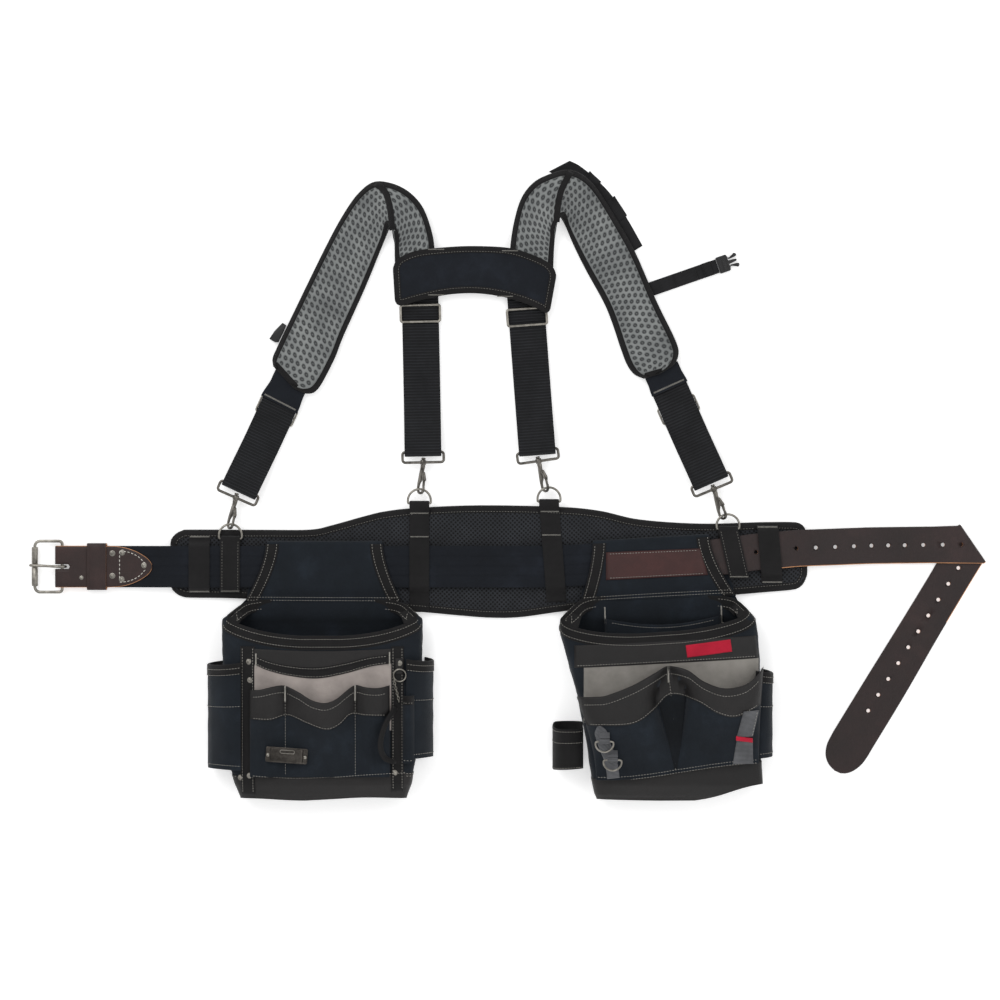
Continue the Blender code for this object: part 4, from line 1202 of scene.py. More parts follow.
def rounded_frame(centre, side, up, half, low, high, corner):
    """The centre line of an oblong frame with round corners."""
    points, turns = [], 6
    for across, end, start in ((1, low, -90), (1, high, 0), (-1, high, 90), (-1, low, 180)):
        middle = centre + side * across * (half - corner) + up * (end + (corner if end == low else -corner))
        for step in range(turns + 1):
            angle = math.radians(start + 90 * step / turns)
            points.append(middle + side * corner * math.cos(angle) + up * corner * math.sin(angle))
    return points


def hook_axes(spec):
    """A snap hook's origin and its own three directions."""
    eye = Vector((*spec["eye"], RING_Z))
    along = (Vector((*spec["catch"], RING_Z)) - eye).normalized()
    roll = math.radians(54)
    turned = Vector((0, 0, 1)).cross(along) * math.cos(roll) + Vector((0, 0, math.sin(roll)))
    other = turned.cross(along)
    return eye, turned, along, other


def cast_plate(outline_points, thick, place, corner=0.0007):
    """A cast flat shape with rounded edges, as rings from one face to the other."""
    points = even([*map(Vector, [(*p, 0) for p in outline_points]), Vector((*outline_points[0], 0))], 120)[:-1]
    count = len(points)
    normals = []
    area = sum(a.x * b.y - b.x * a.y for a, b in zip(points, points[1:] + points[:1]))
    for i in range(count):
        ahead = points[(i + 1) % count] - points[i - 1]
        out = Vector((ahead.y, -ahead.x, 0)).normalized()
        normals.append(out if area > 0 else -out)
    levels = [
        (-corner, -0.5), (-corner * 0.35, -0.5), (0.0, -0.5 + corner / thick), (0.0, 0.5 - corner / thick),
        (-corner * 0.35, 0.5), (-corner, 0.5),
    ]
    levels[1] = (-corner * 0.3, -0.5 + 0.3 * corner / thick)
    levels[4] = (-corner * 0.3, 0.5 - 0.3 * corner / thick)
    rings = []
    for inset, z in levels:
        rings.append([place(p + n * inset + Vector((0, 0, z * thick))) for p, n in zip(points, normals)])
    return rings


def filled(shape, rings):
    """Adds a plate's rings, its two faces filled by one polygon each."""
    start = len(shape.points)
    shape.loft(rings, caps=False)
    count = len(rings[0])
    shape.faces.append(tuple(start + i for i in range(count)))
    shape.faces.append(tuple(start + (len(rings) - 1) * count + i for i in range(count)))
    shape.marks += [0, 0]


HOOK_LOOP_Y, HOOK_INNER, HOOK_OUTER = 0.0364, 0.0049, 0.0081


def hook_outline():
    """The snap hook's outline."""
    points = [
        (-0.0028, 0.004), (0.0028, 0.004), (0.003, 0.012), (0.002, 0.014), (0.0018, 0.0165), (-0.0002, 0.026),
        (-0.0012, 0.0274), (-0.0036, 0.0302),
    ]
    for step in range(25):
        angle = math.radians(-130 - 240 * step / 24)
        x, y = HOOK_INNER * math.cos(angle), HOOK_LOOP_Y + HOOK_INNER * math.sin(angle)
        if step > 2 and (y > 0.0346 or x < 0):
            points.append((x, y))
    points += [
        (HOOK_INNER, 0.0345), (HOOK_INNER + 0.0006, 0.0338), (HOOK_OUTER - 0.0006, 0.0338), (HOOK_OUTER, 0.0345)
    ]
    for step in range(19):
        angle = math.pi * step / 18
        points.append((HOOK_OUTER * math.cos(angle), HOOK_LOOP_Y + HOOK_OUTER * math.sin(angle)))
    points += [(-0.008, 0.031), (-0.0078, 0.028), (-0.0062, 0.018), (-0.0046, 0.01)]
    return points


TRIGGER = [
    (0.0024, 0.0146), (0.0042, 0.0128), (0.0056, 0.0138), (0.0072, 0.0172), (0.01, 0.0235), (0.01, 0.0248),
    (0.008, 0.0256), (0.0076, 0.0338), (0.0048, 0.0338), (0.0046, 0.0262), (0.0024, 0.025),
]


def make_metal(name, spec):
    """The ring, the swivel eye, the snap hook with its trigger, and the slider of one strap."""
    ring = tube(
        f"{name}_ring", ring_path(spec["ring_x"], spec["bar_y"]), 0.0016, NICKEL, f"{name}_d_ring", sides=14,
    )
    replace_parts(ring, f"{name}_d_ring")
    eye, turned, along, other = hook_axes(spec)
    eye_up = Vector((*spec["eye_up"], 0)).normalized()
    eye_side = Vector((eye_up.y, -eye_up.x, 0))
    shape = Shape()
    shape.loft(
        tube_rings(rounded_frame(eye, eye_side, eye_up, 0.0285, 0.0, EYE_HEIGHT, 0.004), 0.0019, 14, loop=True),
        loop=True,
    )
    boss = [
        (0.0023, -0.0034), (0.0036, -0.0034), (0.0042, -0.0028), (0.0042, 0.0028), (0.0036, 0.0034),
        (0.0023, 0.0034),
    ]
    shape.loft(turned_rings(eye, along, boss, 28), loop=True)
    swivel = shape.make(f"{name}_eye", GUNMETAL, f"{name}_swivel_eye", sharp=50)
    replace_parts(swivel, f"{name}_swivel_eye")

    def place(p):
        return eye + turned * p.x + along * p.y + other * p.z

    body = Shape()
    filled(body, cast_plate(hook_outline(), 0.003, place))
    collar = [
        (0.0, -0.0066), (0.0022, -0.0066), (0.003, -0.006), (0.003, -0.0042), (0.0024, -0.0037),
        (0.0017, -0.0036), (0.0017, 0.0036), (0.0033, 0.0036), (0.0034, 0.006), (0.003, 0.0088),
        (0.0024, 0.011), (0.0, 0.0112),
    ]
    body.loft(turned_rings(eye, along, collar, 24))
    hook = body.make(f"{name}_snap_hook", GUNMETAL, f"{name}_hook", sharp=55)
    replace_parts(hook, f"{name}_hook")
    lever = Shape()
    filled(lever, cast_plate(TRIGGER, 0.0028, place))
    pin = place(Vector((0.0036, 0.0165, 0)))
    lever.loft(
        turned_rings(pin, other, [(0.0, -0.0022), (0.0013, -0.0022), (0.0013, 0.0022), (0.0, 0.0022)], 16)
    )
    trigger = lever.make(f"{name}_thumb_trigger", GUNMETAL, f"{name}_trigger", sharp=55)
    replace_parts(trigger, f"{name}_trigger")
    up = Vector((*spec["up"], 0)).normalized()
    side = Vector((up.y, -up.x, 0))
    middle = Vector((*spec["eye"], 0)) + eye_up * EYE_HEIGHT + up * spec["slider"]
    wire = 0.0019 if spec["proud"] else 0.00135
    between = (0.0011 + 0.0059) / 2
    top = 0.0059 + 0.0008 + 0.0003 + wire if spec["proud"] else between
    middle.z = top
    frame_part = Shape()
    frame_part.loft(
        tube_rings(rounded_frame(middle, side, up, 0.0271, -0.0115, 0.0115, 0.003), wire, 12, loop=True),
        loop=True,
    )
    ends = [middle - side * 0.0271, middle + side * 0.0271]
    bar = [Vector((p.x, p.y, between)) for p in ends]
    if spec["proud"]:
        bar = [
            ends[0], *[ends[0].lerp(bar[0], t) for t in (0.5, 0.9)], bar[0] + side * 0.0008,
            bar[1] - side * 0.0008, *[ends[1].lerp(bar[1], t) for t in (0.9, 0.5)], ends[1],
        ]
    frame_part.loft(tube_rings(bar, 0.0013, 12))
    slider = frame_part.make(f"{name}_wire_slider", NICKEL, f"{name}_slider")
    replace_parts(slider, f"{name}_slider")


def make_suspenders():
    for name, spec in HARNESS.items():
        make_webbing(name, spec)
        make_metal(name, spec)


LEFT_OUTER = [
    (-0.3255, 0.156, 0.011), (-0.3262, 0.166, 0.0105), (-0.3205, 0.18, 0.0095), (-0.305, 0.213, 0.0085),
    (-0.2533, 0.32, 0.005), (-0.227, 0.368, 0.0055), (-0.206, 0.396, 0.009), (-0.185, 0.4095, 0.016),
    (-0.16, 0.406, 0.025), (-0.137, 0.394, 0.027), (-0.119, 0.374, 0.024), (-0.108, 0.346, 0.016),
    (-0.103, 0.318, 0.011), (-0.103, 0.278, 0.0104),
]
LEFT_INNER = [
    (-0.296, 0.124, 0.011), (-0.278, 0.1178, 0.0105), (-0.263, 0.126, 0.0095), (-0.2415, 0.166, 0.0085),
    (-0.229, 0.198, 0.007), (-0.1995, 0.264, 0.005), (-0.1763, 0.3204, 0.0055), (-0.169, 0.338, 0.009),
    (-0.164, 0.349, 0.018), (-0.1615, 0.348, 0.025), (-0.16, 0.343, 0.0265), (-0.1585, 0.335, 0.024),
    (-0.1572, 0.325, 0.016), (-0.157, 0.31, 0.0115), (-0.156, 0.278, 0.0104),
]
RIGHT_OUTER = [
    (0.211, 0.1455, 0.011), (0.227, 0.156, 0.0108), (0.2345, 0.17, 0.01), (0.231, 0.19, 0.0095),
    (0.2045, 0.245, 0.0085), (0.1755, 0.312, 0.0075), (0.1515, 0.355, 0.0072), (0.132, 0.3865, 0.008),
    (0.1155, 0.408, 0.013), (0.099, 0.4205, 0.021), (0.081, 0.425, 0.026), (0.06, 0.42, 0.027),
    (0.0362, 0.4085, 0.0265), (0.019, 0.388, 0.022), (0.009, 0.358, 0.015), (0.003, 0.32, 0.011),
    (0.003, 0.28, 0.0104),
]
RIGHT_INNER = [
    (0.187, 0.1385, 0.011), (0.175, 0.144, 0.0108), (0.165, 0.157, 0.01), (0.156, 0.18, 0.0095),
    (0.144, 0.216, 0.0088), (0.132, 0.245, 0.008), (0.1083, 0.288, 0.0072), (0.0915, 0.3215, 0.0072),
    (0.08, 0.348, 0.008), (0.0735, 0.36, 0.017), (0.07, 0.3595, 0.025), (0.0675, 0.354, 0.0265),
    (0.065, 0.345, 0.024), (0.0635, 0.332, 0.016), (0.062, 0.31, 0.0112), (0.061, 0.28, 0.0104),
]
LEFT_FOLD = [(-0.184, 0.4075), (-0.171, 0.396), (-0.165, 0.38), (-0.162, 0.362), (-0.16, 0.342)]
RIGHT_FOLD = [(0.086, 0.4225), (0.08, 0.412), (0.0725, 0.396), (0.0685, 0.378), (0.066, 0.353)]
DIMPLE = 0.009


def dimple(x, y):
    """(depth, painted shade) of the net's hexagonal holes: shade is painted into each hole, darkest round its
    middle, with a painted highlight at the very middle.
    """
    row = DIMPLE * math.sqrt(3) / 2
    best = 9.0
    k = math.floor(y / row)
    for j in (k, k + 1):
        shift = (j % 2) * DIMPLE / 2
        i = round((x - shift) / DIMPLE)
        best = min(best, math.hypot(x - shift - i * DIMPLE, y - j * row))
    depth = 1 - ease((best - DIMPLE * 0.24) / (DIMPLE * 0.15))
    return depth, depth * (1 - 0.62 * math.exp(-((best / (DIMPLE * 0.13)) ** 2)))


def spacer_look():
    """The shoulder pads' grey mesh; an attribute gives the shade painted into its holes."""
    look = Look("grey_spacer_net", srgb(150, 152, 152), 0.88, "spacer_mesh", sheen=0.35, specular=0.25)
    hole = look.node("Attribute", attribute_name="tint").outputs["Fac"]
    where = look.place(cloth=True)
    threads = look.wave(where, 0.32 / 0.0011, "DIAGONAL", 0.6)
    fine = look.noise(look.place(), 900.0, 2.0)
    clouds = look.noise(look.place(), 30.0, 3.0)
    tone = look.ramp(clouds, [(0.3, srgb(116, 119, 119)), (0.7, srgb(148, 151, 150))])
    tone = look.mix(look.between(threads, 0.28, 0.0), tone, (*srgb(84, 86, 87), 1.0))
    # The holes take painted shade: dark grey is mixed in where the attribute says.
    look.paint(look.mix(hole, tone, (*srgb(38, 40, 42), 1.0)))
    look.raise_by(threads, 0.0003, 0.8)
    look.raise_by(fine, 0.0003, 0.5)
    return look


# Stores the shade painted into the net's holes on a piece's points.
def tint(obj, values):
    obj.data.attributes.new("tint", "FLOAT", "POINT").data.foreach_set("value", np.array(values, np.float32))


def halves(chain):
    """A pad's edge before and after its highest point."""
    peak = max(range(len(chain)), key=lambda i: chain[i].y)
    return chain[: peak + 1], chain[peak:]


def make_shoulder_pad(name, outer, inner, look):
    """A soft pad: spacer net with hexagonal dimples inside a bound edge, on both of its faces."""
    left, right = [], []
    for outer_part, inner_part in zip(halves(smooth(outer, 8)), halves(smooth(inner, 8))):
        rows = int((0.6 * length_of(outer_part) + 0.4 * length_of(inner_part)) / 0.00115)
        left += even(outer_part, rows)[1 if left else 0 :]
        right += even(inner_part, rows)[1 if right else 0 :]
    values = []

    def face(d, s, t):
        free = ease((d - 0.0068) / 0.002)
        # dimple() gives the dent here and the shade painted into the hole.
        hole, painted_shade = (value * free for value in dimple(s, t * 0.066))
        values.append(painted_shade)
        return 0.0016 + 0.0026 * ease(d / 0.008) + 0.0008 * ease((d - 0.006) / 0.008) - 0.0011 * hole

    half = 50
    rings, cloth = sheet_rings(left, right, face, face, inner=half, edge=(0.0, 0.001, 0.003, 0.006))
    # The heights were asked for in pairs, upper and lower, so the painted hole shades are put in the rings'
    # order.
    count = len(rings[0]) // 2
    painted_hole_shades = []
    for i in range(len(rings)):
        row = values[i * 2 * count : (i + 1) * 2 * count]
        upper, lower = row[0::2], row[1::2]
        painted_hole_shades += upper + lower[::-1]
    pad = Shape().loft(rings, cloth=cloth).make(f"{name}_padding", look, "root")
    # The pad's points carry the shade painted into its holes.
    tint(pad, painted_hole_shades)
    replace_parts(pad, name)
    tapes = []
    for label, edge, across in (("outer", left, right), ("inner", right, left)):
        edge_even = edge[0:-2:3]
        inward = [(b - a).normalized() for a, b in zip(edge, across)][0:-2:3]
        tapes.append(
            binding(
                f"{name}_{label}_binding", edge_even, inward, lambda i: (0.0018, 0.0044), 0.0075, TAPE, "root",
                loop=False,
            )
        )
    end_edge = [left[0].lerp(right[0], t) for t in np.linspace(0.0, 1.0, 24)]
    into_pad = ((left[6] + right[6]) / 2 - (left[0] + right[0]) / 2).normalized()
    tapes.append(
        binding(
            f"{name}_end_binding", end_edge, [into_pad] * 24, lambda i: (0.0018, 0.004), 0.0075, TAPE, "root",
            loop=False,
        )
    )
    return pad, tapes


def make_shoulder_pads():
    """Both shoulder pads with their bindings, and the bound fold across each."""
    look = spacer_look()
    pieces = []
    for name, outer, inner in (
        ("left_shoulder_pad", LEFT_OUTER, LEFT_INNER), ("right_shoulder_pad", RIGHT_OUTER, RIGHT_INNER)
    ):
        pad, tapes = make_shoulder_pad(name, outer, inner, look)
        pieces += [pad, *tapes]
    ground = Ground(*pieces)
    for name, fold in (("left", LEFT_FOLD), ("right", RIGHT_FOLD)):
        laid_tape(
            f"{name}_shoulder_pad_fold", ground, flat_path(fold, 0.002), 0.0085, TAPE, "root", thick=0.0016
        )
    return pieces


def make_yoke():
    """The quilted patch between the shoulder pads' back ends, with a stitched black binding."""
    top = [
        (-0.1592, 0.29), (-0.156, 0.2985), (-0.148, 0.306), (-0.125, 0.3145), (-0.085, 0.319), (-0.046, 0.3205),
        (0.0, 0.318), (0.03, 0.3095), (0.053, 0.299), (0.062, 0.29), (0.0655, 0.28),
    ]
    low = [
        (-0.1565, 0.245), (-0.152, 0.24), (-0.144, 0.2405), (-0.125, 0.246), (-0.085, 0.2545), (-0.046, 0.2565),
        (-0.01, 0.252), (0.022, 0.243), (0.044, 0.2335), (0.052, 0.229), (0.057, 0.233),
    ]
    z = 0.0168
    upper = smooth([(*p, z) for p in top], 6)
    lower = smooth([(*p, z) for p in low], 6)

    def face(d, s, t):
        return 0.0006 + 0.0012 * ease(d / 0.01) + 0.0009 * ease((d - 0.01) / 0.016) + 0.0003 * ripple(
            s, t * 0.07, 0.02, 5
        )

    yoke = sheet_piece(
        "yoke_panel", lower, upper, PAD_CLOTH, "root", top=face, low=lambda d, s, t: 0.0011, inner=26
    )
    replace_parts(yoke, "yoke_patch")
    edge = lower[1:] + upper[::-1] + [lower[0]]
    edge = even([*edge, edge[0]], 170)[:-1]
    inward = []
    for i in range(len(edge)):
        ahead = edge[(i + 1) % len(edge)] - edge[i - 1]
        inward.append(Vector((-ahead.y, ahead.x, 0)).normalized())
    tape = binding("yoke_binding", edge, inward, lambda i: (0.0008, 0.0017), 0.0088, TAPE, "root")
    ground = Ground(yoke, tape)
    inset = [p + n * 0.0068 for p, n in zip(edge, inward)]
    sew("root", ground.drop([*inset, inset[0]], 0.0001))
    for x, y in ((-0.1, 0.3165), (0.002, 0.3145), (-0.1, 0.2535), (-0.005, 0.2515)):
        bartack(ground, "root", (x - 0.011, y), (x + 0.011, y), 0.0018)
    return yoke


def make_sternum():
    """Chest strap with a folded hem, and the webbing track along the right pad."""
    start, end = Vector((0.242, 0.278, 0.0034)), Vector((0.29, 0.2947, 0.0034))
    along = (end - start).normalized()
    side = Vector((-along.y, along.x, 0))
    first = start - along * 0.05
    path = even([first, end], 40)
    left, right = [p - side * 0.0098 for p in path], [p + side * 0.0098 for p in path]
    strap = sheet_piece("chest_strap_webbing", left, right, CHEST_WEB, "sternum_strap", 0.002, inner=8)
    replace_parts(strap, "sternum_strap")
    ground = Ground(strap)
    hem_path = [start - along * 0.012, start + along * 0.02]
    hem_middle = even(hem_path, 12)
    hem = laid(
        "chest_strap_hem", ground, [p - side * 0.0096 for p in hem_middle],
        [p + side * 0.0096 for p in hem_middle], CHEST_WEB, "sternum_strap", thick=0.0012,
    )
    slide = [start + along * d for d in (0.03, 0.034, 0.038, 0.042)]
    laid(
        "chest_strap_fold", Ground(strap, hem), [p - side * 0.01 for p in slide],
        [p + side * 0.01 for p in slide], CHEST_WEB, "sternum_strap", thick=0.0022,
    )
    outer = [(0.085, 0.441), (0.1, 0.433), (0.123, 0.414), (0.143, 0.393), (0.165, 0.36), (0.186, 0.323)]
    inner = [(0.056, 0.426), (0.075, 0.415), (0.108, 0.399), (0.129, 0.384), (0.152, 0.35), (0.173, 0.315)]
    left = smooth([(*p, 0.0012) for p in outer], 10)
    right = smooth([(*p, 0.0012) for p in inner], 10)
    track = sheet_piece("pad_track_webbing", left, right, CHEST_WEB, "root", 0.0018, inner=8)
    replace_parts(track, "sternum_track")
    for label, reach in (("upper", (0.3, 0.46)), ("lower", (0.62, 0.8))):
        first, last = (int(share * (len(left) - 1)) for share in reach)
        outside = [p + (p - q).normalized() * 0.0022 for p, q in zip(left[first:last], right[first:last])]
        laid(f"track_{label}_guide", Ground(track), outside, right[first:last], CHEST_WEB, "root", thick=0.0016)


def make_pad_straps():
    """The smooth strap from each pad's front end to the slider, with its zigzag hem."""
    for name, hem, up in (
        ("left", [(-0.343, 0.115), (-0.293, 0.0895)], (0.455, 0.89)),
        ("right", [(0.199, 0.113), (0.248, 0.135)], (-0.41, 0.912)),
    ):
        ground = Ground(earlier(f"front_{name}_strap"))
        a, b = (Vector((*p, 0)) for p in hem)
        up = Vector((*up, 0))
        middle_z = ground.height((a.x + b.x) / 2, (a.y + b.y) / 2)
        rows = np.linspace(0.0, 0.052, 26)
        ends = []
        for point, shrink in ((a, 1), (b, -1)):
            toward = (b - a).normalized() * shrink
            ends.append(
                [
                    point + up * d + toward * (0.0028 * ease(d / 0.03)) + Vector((0, 0, middle_z + 0.0016))
                    for d in rows
                ]
            )
        strap = sheet_piece(f"{name}_pad_strap", *ends, PAD_CLOTH, "root", 0.0022, inner=10)
        over = Ground(strap)
        inset = (b - a).normalized() * 0.004
        zigzag_from, zigzag_to = a + up * 0.004 + inset, b + up * 0.004 - inset
        bartack(over, "root", zigzag_from.xy, zigzag_to.xy, 0.0028)




# Pouches
class Pouch:
    """A bag's cloth shell: rounded sections from its bottom to a mouth that dips at the front."""

    COUNT, ROWS, WALL, CRUMPLE = 132, 64, 0.0024, 0.0012

    def __init__(self, body, rows, low, mouth_front, mouth_back, seed):
        self.body, self.low = body, low
        self.rows = [np.array(column) for column in zip(*sorted(rows))]
        self.mouth_front, self.mouth_back = mouth_front, mouth_back
        self.seed = seed
        self.outer, self.inner = (
            [[self.spot(i, k / (self.ROWS - 1), inset) for i in range(self.COUNT)] for k in range(self.ROWS)]
            for inset in (0.0, self.WALL)
        )

    def spot(self, i, f, inset):
        """A point of the shell: i round the section, f from the bottom to the mouth."""
        angle = 2 * math.pi * (i + 0.5) / self.COUNT
        c, s = math.cos(angle), math.sin(angle)
        u = 0.5 + 0.5 * math.copysign(abs(c) ** 0.42, c)
        w = 0.5 + 0.5 * math.copysign(abs(s) ** 0.42, s)
        rim = self.mouth_back + (self.mouth_front(u) - self.mouth_back) * w
        low = self.low(u)
        y = low + (rim - low) * f
        x0, x1, z0, z1 = (float(np.interp(y, self.rows[0], column)) for column in self.rows[1:])
        bulge = 0.002 * math.sin(math.pi * u) * max(s, 0.0)
        x = x0 + inset + (x1 - x0 - 2 * inset) * u
        z = z0 + inset + (z1 + bulge - z0 - 2 * inset) * w
        rough = self.CRUMPLE * ripple(x + z, y - z, 0.034, self.seed)
        rough += 0.4 * self.CRUMPLE * ripple(x, y + z, 0.013, 7)
        free = ease((f - 0.02) / 0.1) * ease((1.0 - f) / 0.12)
        x += rough * free * (2 * u - 1) * 1.2
        z += rough * free * max(2 * w - 1, 0.0) * 1.5
        return Vector((x, y, z))

    def make(self, name, look, nodes):
        floor = [self.spot(i, 0.0, self.WALL) + Vector((0, self.WALL, 0)) for i in range(self.COUNT)]
        self.inner[0] = floor
        shell = Shape().loft([*self.outer, *reversed(self.inner)], cloth=self.cloth()).make(
            name, look, self.body
        )
        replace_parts(shell, *nodes)
        return shell

    def cloth(self):
        """Places on the cloth: round the section, and down from the mouth."""
        rows = []
        for ring in [*self.outer, *reversed(self.inner)]:
            around, row = 0.0, []
            for i, point in enumerate(ring):
                around += (point - ring[i - 1]).length if i else 0.0
                row.append((point.y, around, 0.0))
            rows.append(row)
        return rows

    def wall_frame(self, i):
        """The wall's edge at the mouth, its direction down and its direction out."""
        top, below = self.outer[-1][i], self.outer[-5][i]
        edge = (top + self.inner[-1][i]) / 2
        out = (self.outer[-3][i] - self.inner[-3][i]).normalized()
        return edge, (below - top).normalized(), out

    def rim(self, name, width, seams, look):
        """Tape folded over the mouth, sewn in rows at the given distances below it."""
        rings, half, thick, turn = [], self.WALL / 2, 0.001, self.COUNT * 3 // 4
        front = [i for i in range(self.COUNT) if math.sin(2 * math.pi * (i + 0.5) / self.COUNT) > -0.8]
        front.sort(key=lambda i: (i - turn) % self.COUNT)
        for i in front:
            edge, down, out = self.wall_frame(i)
            upper = [
                (width, half + 0.0002), (width - 0.0006, half + thick), (width * 0.6, half + thick + 0.0002),
                (width * 0.25, half + thick), (0.0014, half + thick), (-0.0002, half * 0.6 + thick),
                (-thick, 0.0003),
            ]
            section = upper + [(d, -h) for d, h in reversed(upper)]
            rings.append([edge + down * d + out * h for d, h in section])
        tape = Shape().loft(rings).make(name, look, self.body)
        for distance in seams:
            line = []
            for i in front[3:-3]:
                edge, down, out = self.wall_frame(i)
                line.append(edge + down * distance + out * (half + thick + 0.00025))
            sew(self.body, line)
        return tape

    def slope(self, name, right, width, look):
        """The mouth's tape where the side rises to the belt: it lies inward there."""
        side = []
        for i in range(self.COUNT):
            angle = 2 * math.pi * (i + 0.5) / self.COUNT
            if (math.cos(angle) > 0) == right and -0.93 < math.sin(angle) < 0.8:
                side.append((math.sin(angle), self.wall_frame(i)[0]))
        side = even([p for _, p in sorted(side, key=lambda entry: entry[0])], 30)
        inward, toward = [], Vector((-1 if right else 1, 0, 0))
        for k, p in enumerate(side):
            ahead = side[min(k + 1, len(side) - 1)] - side[max(k - 1, 0)]
            across = Vector((-ahead.y, ahead.x, 0))
            if across.dot(toward) < 0:
                across = -across
            inward.append(p + across.normalized() * width + Vector((0, 0, -0.0022)))
        for p in side:
            p.z += 0.0012
        pair = (inward, side) if right else (side, inward)
        band = sheet_piece(name, *pair, look, self.body, 0.0011, inner=6)
        over = Ground(band)
        for share in (0.22, 0.78):
            sew(self.body, over.drop([p.lerp(q, share) for p, q in zip(side, inward)][5:-5], 0.0001))
        return band

    def boot(self, name, top_y, look):
        """The heavier cloth round the bottom, up to the given height."""
        rings, rows = [], 16
        centre_x = (self.rows[1][0] + self.rows[2][0]) / 2
        for row in range(rows + 1):
            ring = []
            for i in range(self.COUNT):
                foot, mouth = self.outer[0][i], self.outer[-1][i]
                share = (top_y(foot.x) - foot.y) / (mouth.y - foot.y)
                point = self.spot(i, share * min(row, rows - 1) / (rows - 1), 0.0)
                out = Vector(((point.x - centre_x) * 0.3, 0, point.z - 0.026)).normalized()
                grown = point + out * (0.001 if row < rows else 0.0001)
                grown.y += -0.001 if row == 0 else 0.0004 if row == rows else 0.0
                grown.z = max(grown.z, 0.00025)
                ring.append(grown)
            rings.append(ring)
        return Shape().loft(rings).make(name, look, self.body)


def upright(x, share):
    """The lean of a pocket whose sides run straight up."""
    return x


def relief(name, xs, low_y, top_y, height, look, body, rows=44, lean=upright):
    """A cloth panel that stands out from what it is sewn to: height(x, share up) gives its outer face."""
    rings, cloth, thick = [], [], 0.002
    for x in xs:
        upper, lower, places = [], [], []
        for v in [0.0, 0.01, *np.linspace(0.03, 0.97, rows), 0.985, 0.995, 1.0]:
            y = low_y(x) + (top_y(x) - low_y(x)) * v
            z = height(x, v)
            round_top = 0.0007 * (1 - ease((1 - v) / 0.012))
            upper.append(Vector((lean(x, v), y, z - round_top)))
            lower.append(Vector((lean(x, v), y, z - thick + round_top)))
            places.append((x, y, 0.0))
        rings.append(upper + lower[::-1])
        cloth.append(places + places[::-1])
    return Shape().loft(rings, cloth=cloth).make(name, look, body)


def tunnel(
    name, body, top_left, top_right, seam_left, seam_right, back_left, back_right, top_y, seam_y, back_y,
    slant=0.0,
):
    """The panel folded over the belt: up between pad and belt, round at the top and down over the belt."""
    low, high = PAD_TOP + 0.0013, BELT_TOP + 0.0013
    middle, radius = (low + high) / 2, (high - low) / 2
    fold_y = top_y - radius
    left, right = [], []

    def station(y, z, t):
        left.append(Vector((top_left + (seam_left - top_left) * t, y, z)))
        right.append(Vector((top_right + (seam_right - top_right) * t, y + slant, z)))

    for edge, back, seam in ((left, back_left, seam_left), (right, back_right, seam_right)):
        edge += [Vector((back, back_y, 0.0042)), Vector((back + (seam - back) * 0.3, back_y + 0.006, low))]
    for y in np.linspace(seam_y, fold_y, 12):
        station(float(y), low, 1.0 - 0.94 * ease((y - seam_y) / (fold_y - seam_y)))
    for step in range(1, 12):
        angle = -math.pi / 2 + math.pi * step / 12
        station(fold_y + radius * math.cos(angle), middle + radius * math.sin(angle), 0.0)
    front_start = len(left)
    for y in np.linspace(fold_y, seam_y - 0.004, 40):
        share = (fold_y - y) / (fold_y - seam_y)
        t = 0.04 + 0.96 * share**1.6
        lift = 0.0006 * math.sin(math.pi * min(share, 1))
        drop = 0.0034 * ease((share - 0.8) / 0.2)
        station(float(y), high + lift - drop, t)
    panel = sheet_piece(f"{name}_panel", left, right, CLOTH, body, 0.0019, inner=22)
    return panel, left[front_start:], right[front_start:]


def tunnel_trim(name, body, ground, left, right, width):
    """Side bindings of the front of a tunnel, with two rows of thread each."""
    pieces = []
    for label, edge, other in (("left", left, right), ("right", right, left)):
        inner = [p + (q - p).normalized() * width for p, q in zip(edge, other)]
        pieces.append(laid(f"{name}_{label}_binding", ground, edge, inner, TAPE, body, thick=0.001, inner=4))
    over = Ground(*pieces)
    for edge, other in ((left, right), (right, left)):
        for distance in (0.003, width - 0.003):
            line = [p + (q - p).normalized() * distance for p, q in zip(edge, other)]
            sew(body, over.drop(even(line, 60), 0.0001))
    return pieces


def left_mouth(u):
    return -0.1935 - 0.0235 * (1 - abs(2 * u - 1) ** 2.4)


def left_low(u):
    return -0.4385 - 0.003 * math.sin(2 * math.pi * (u - 0.1)) * math.sin(math.pi * u)


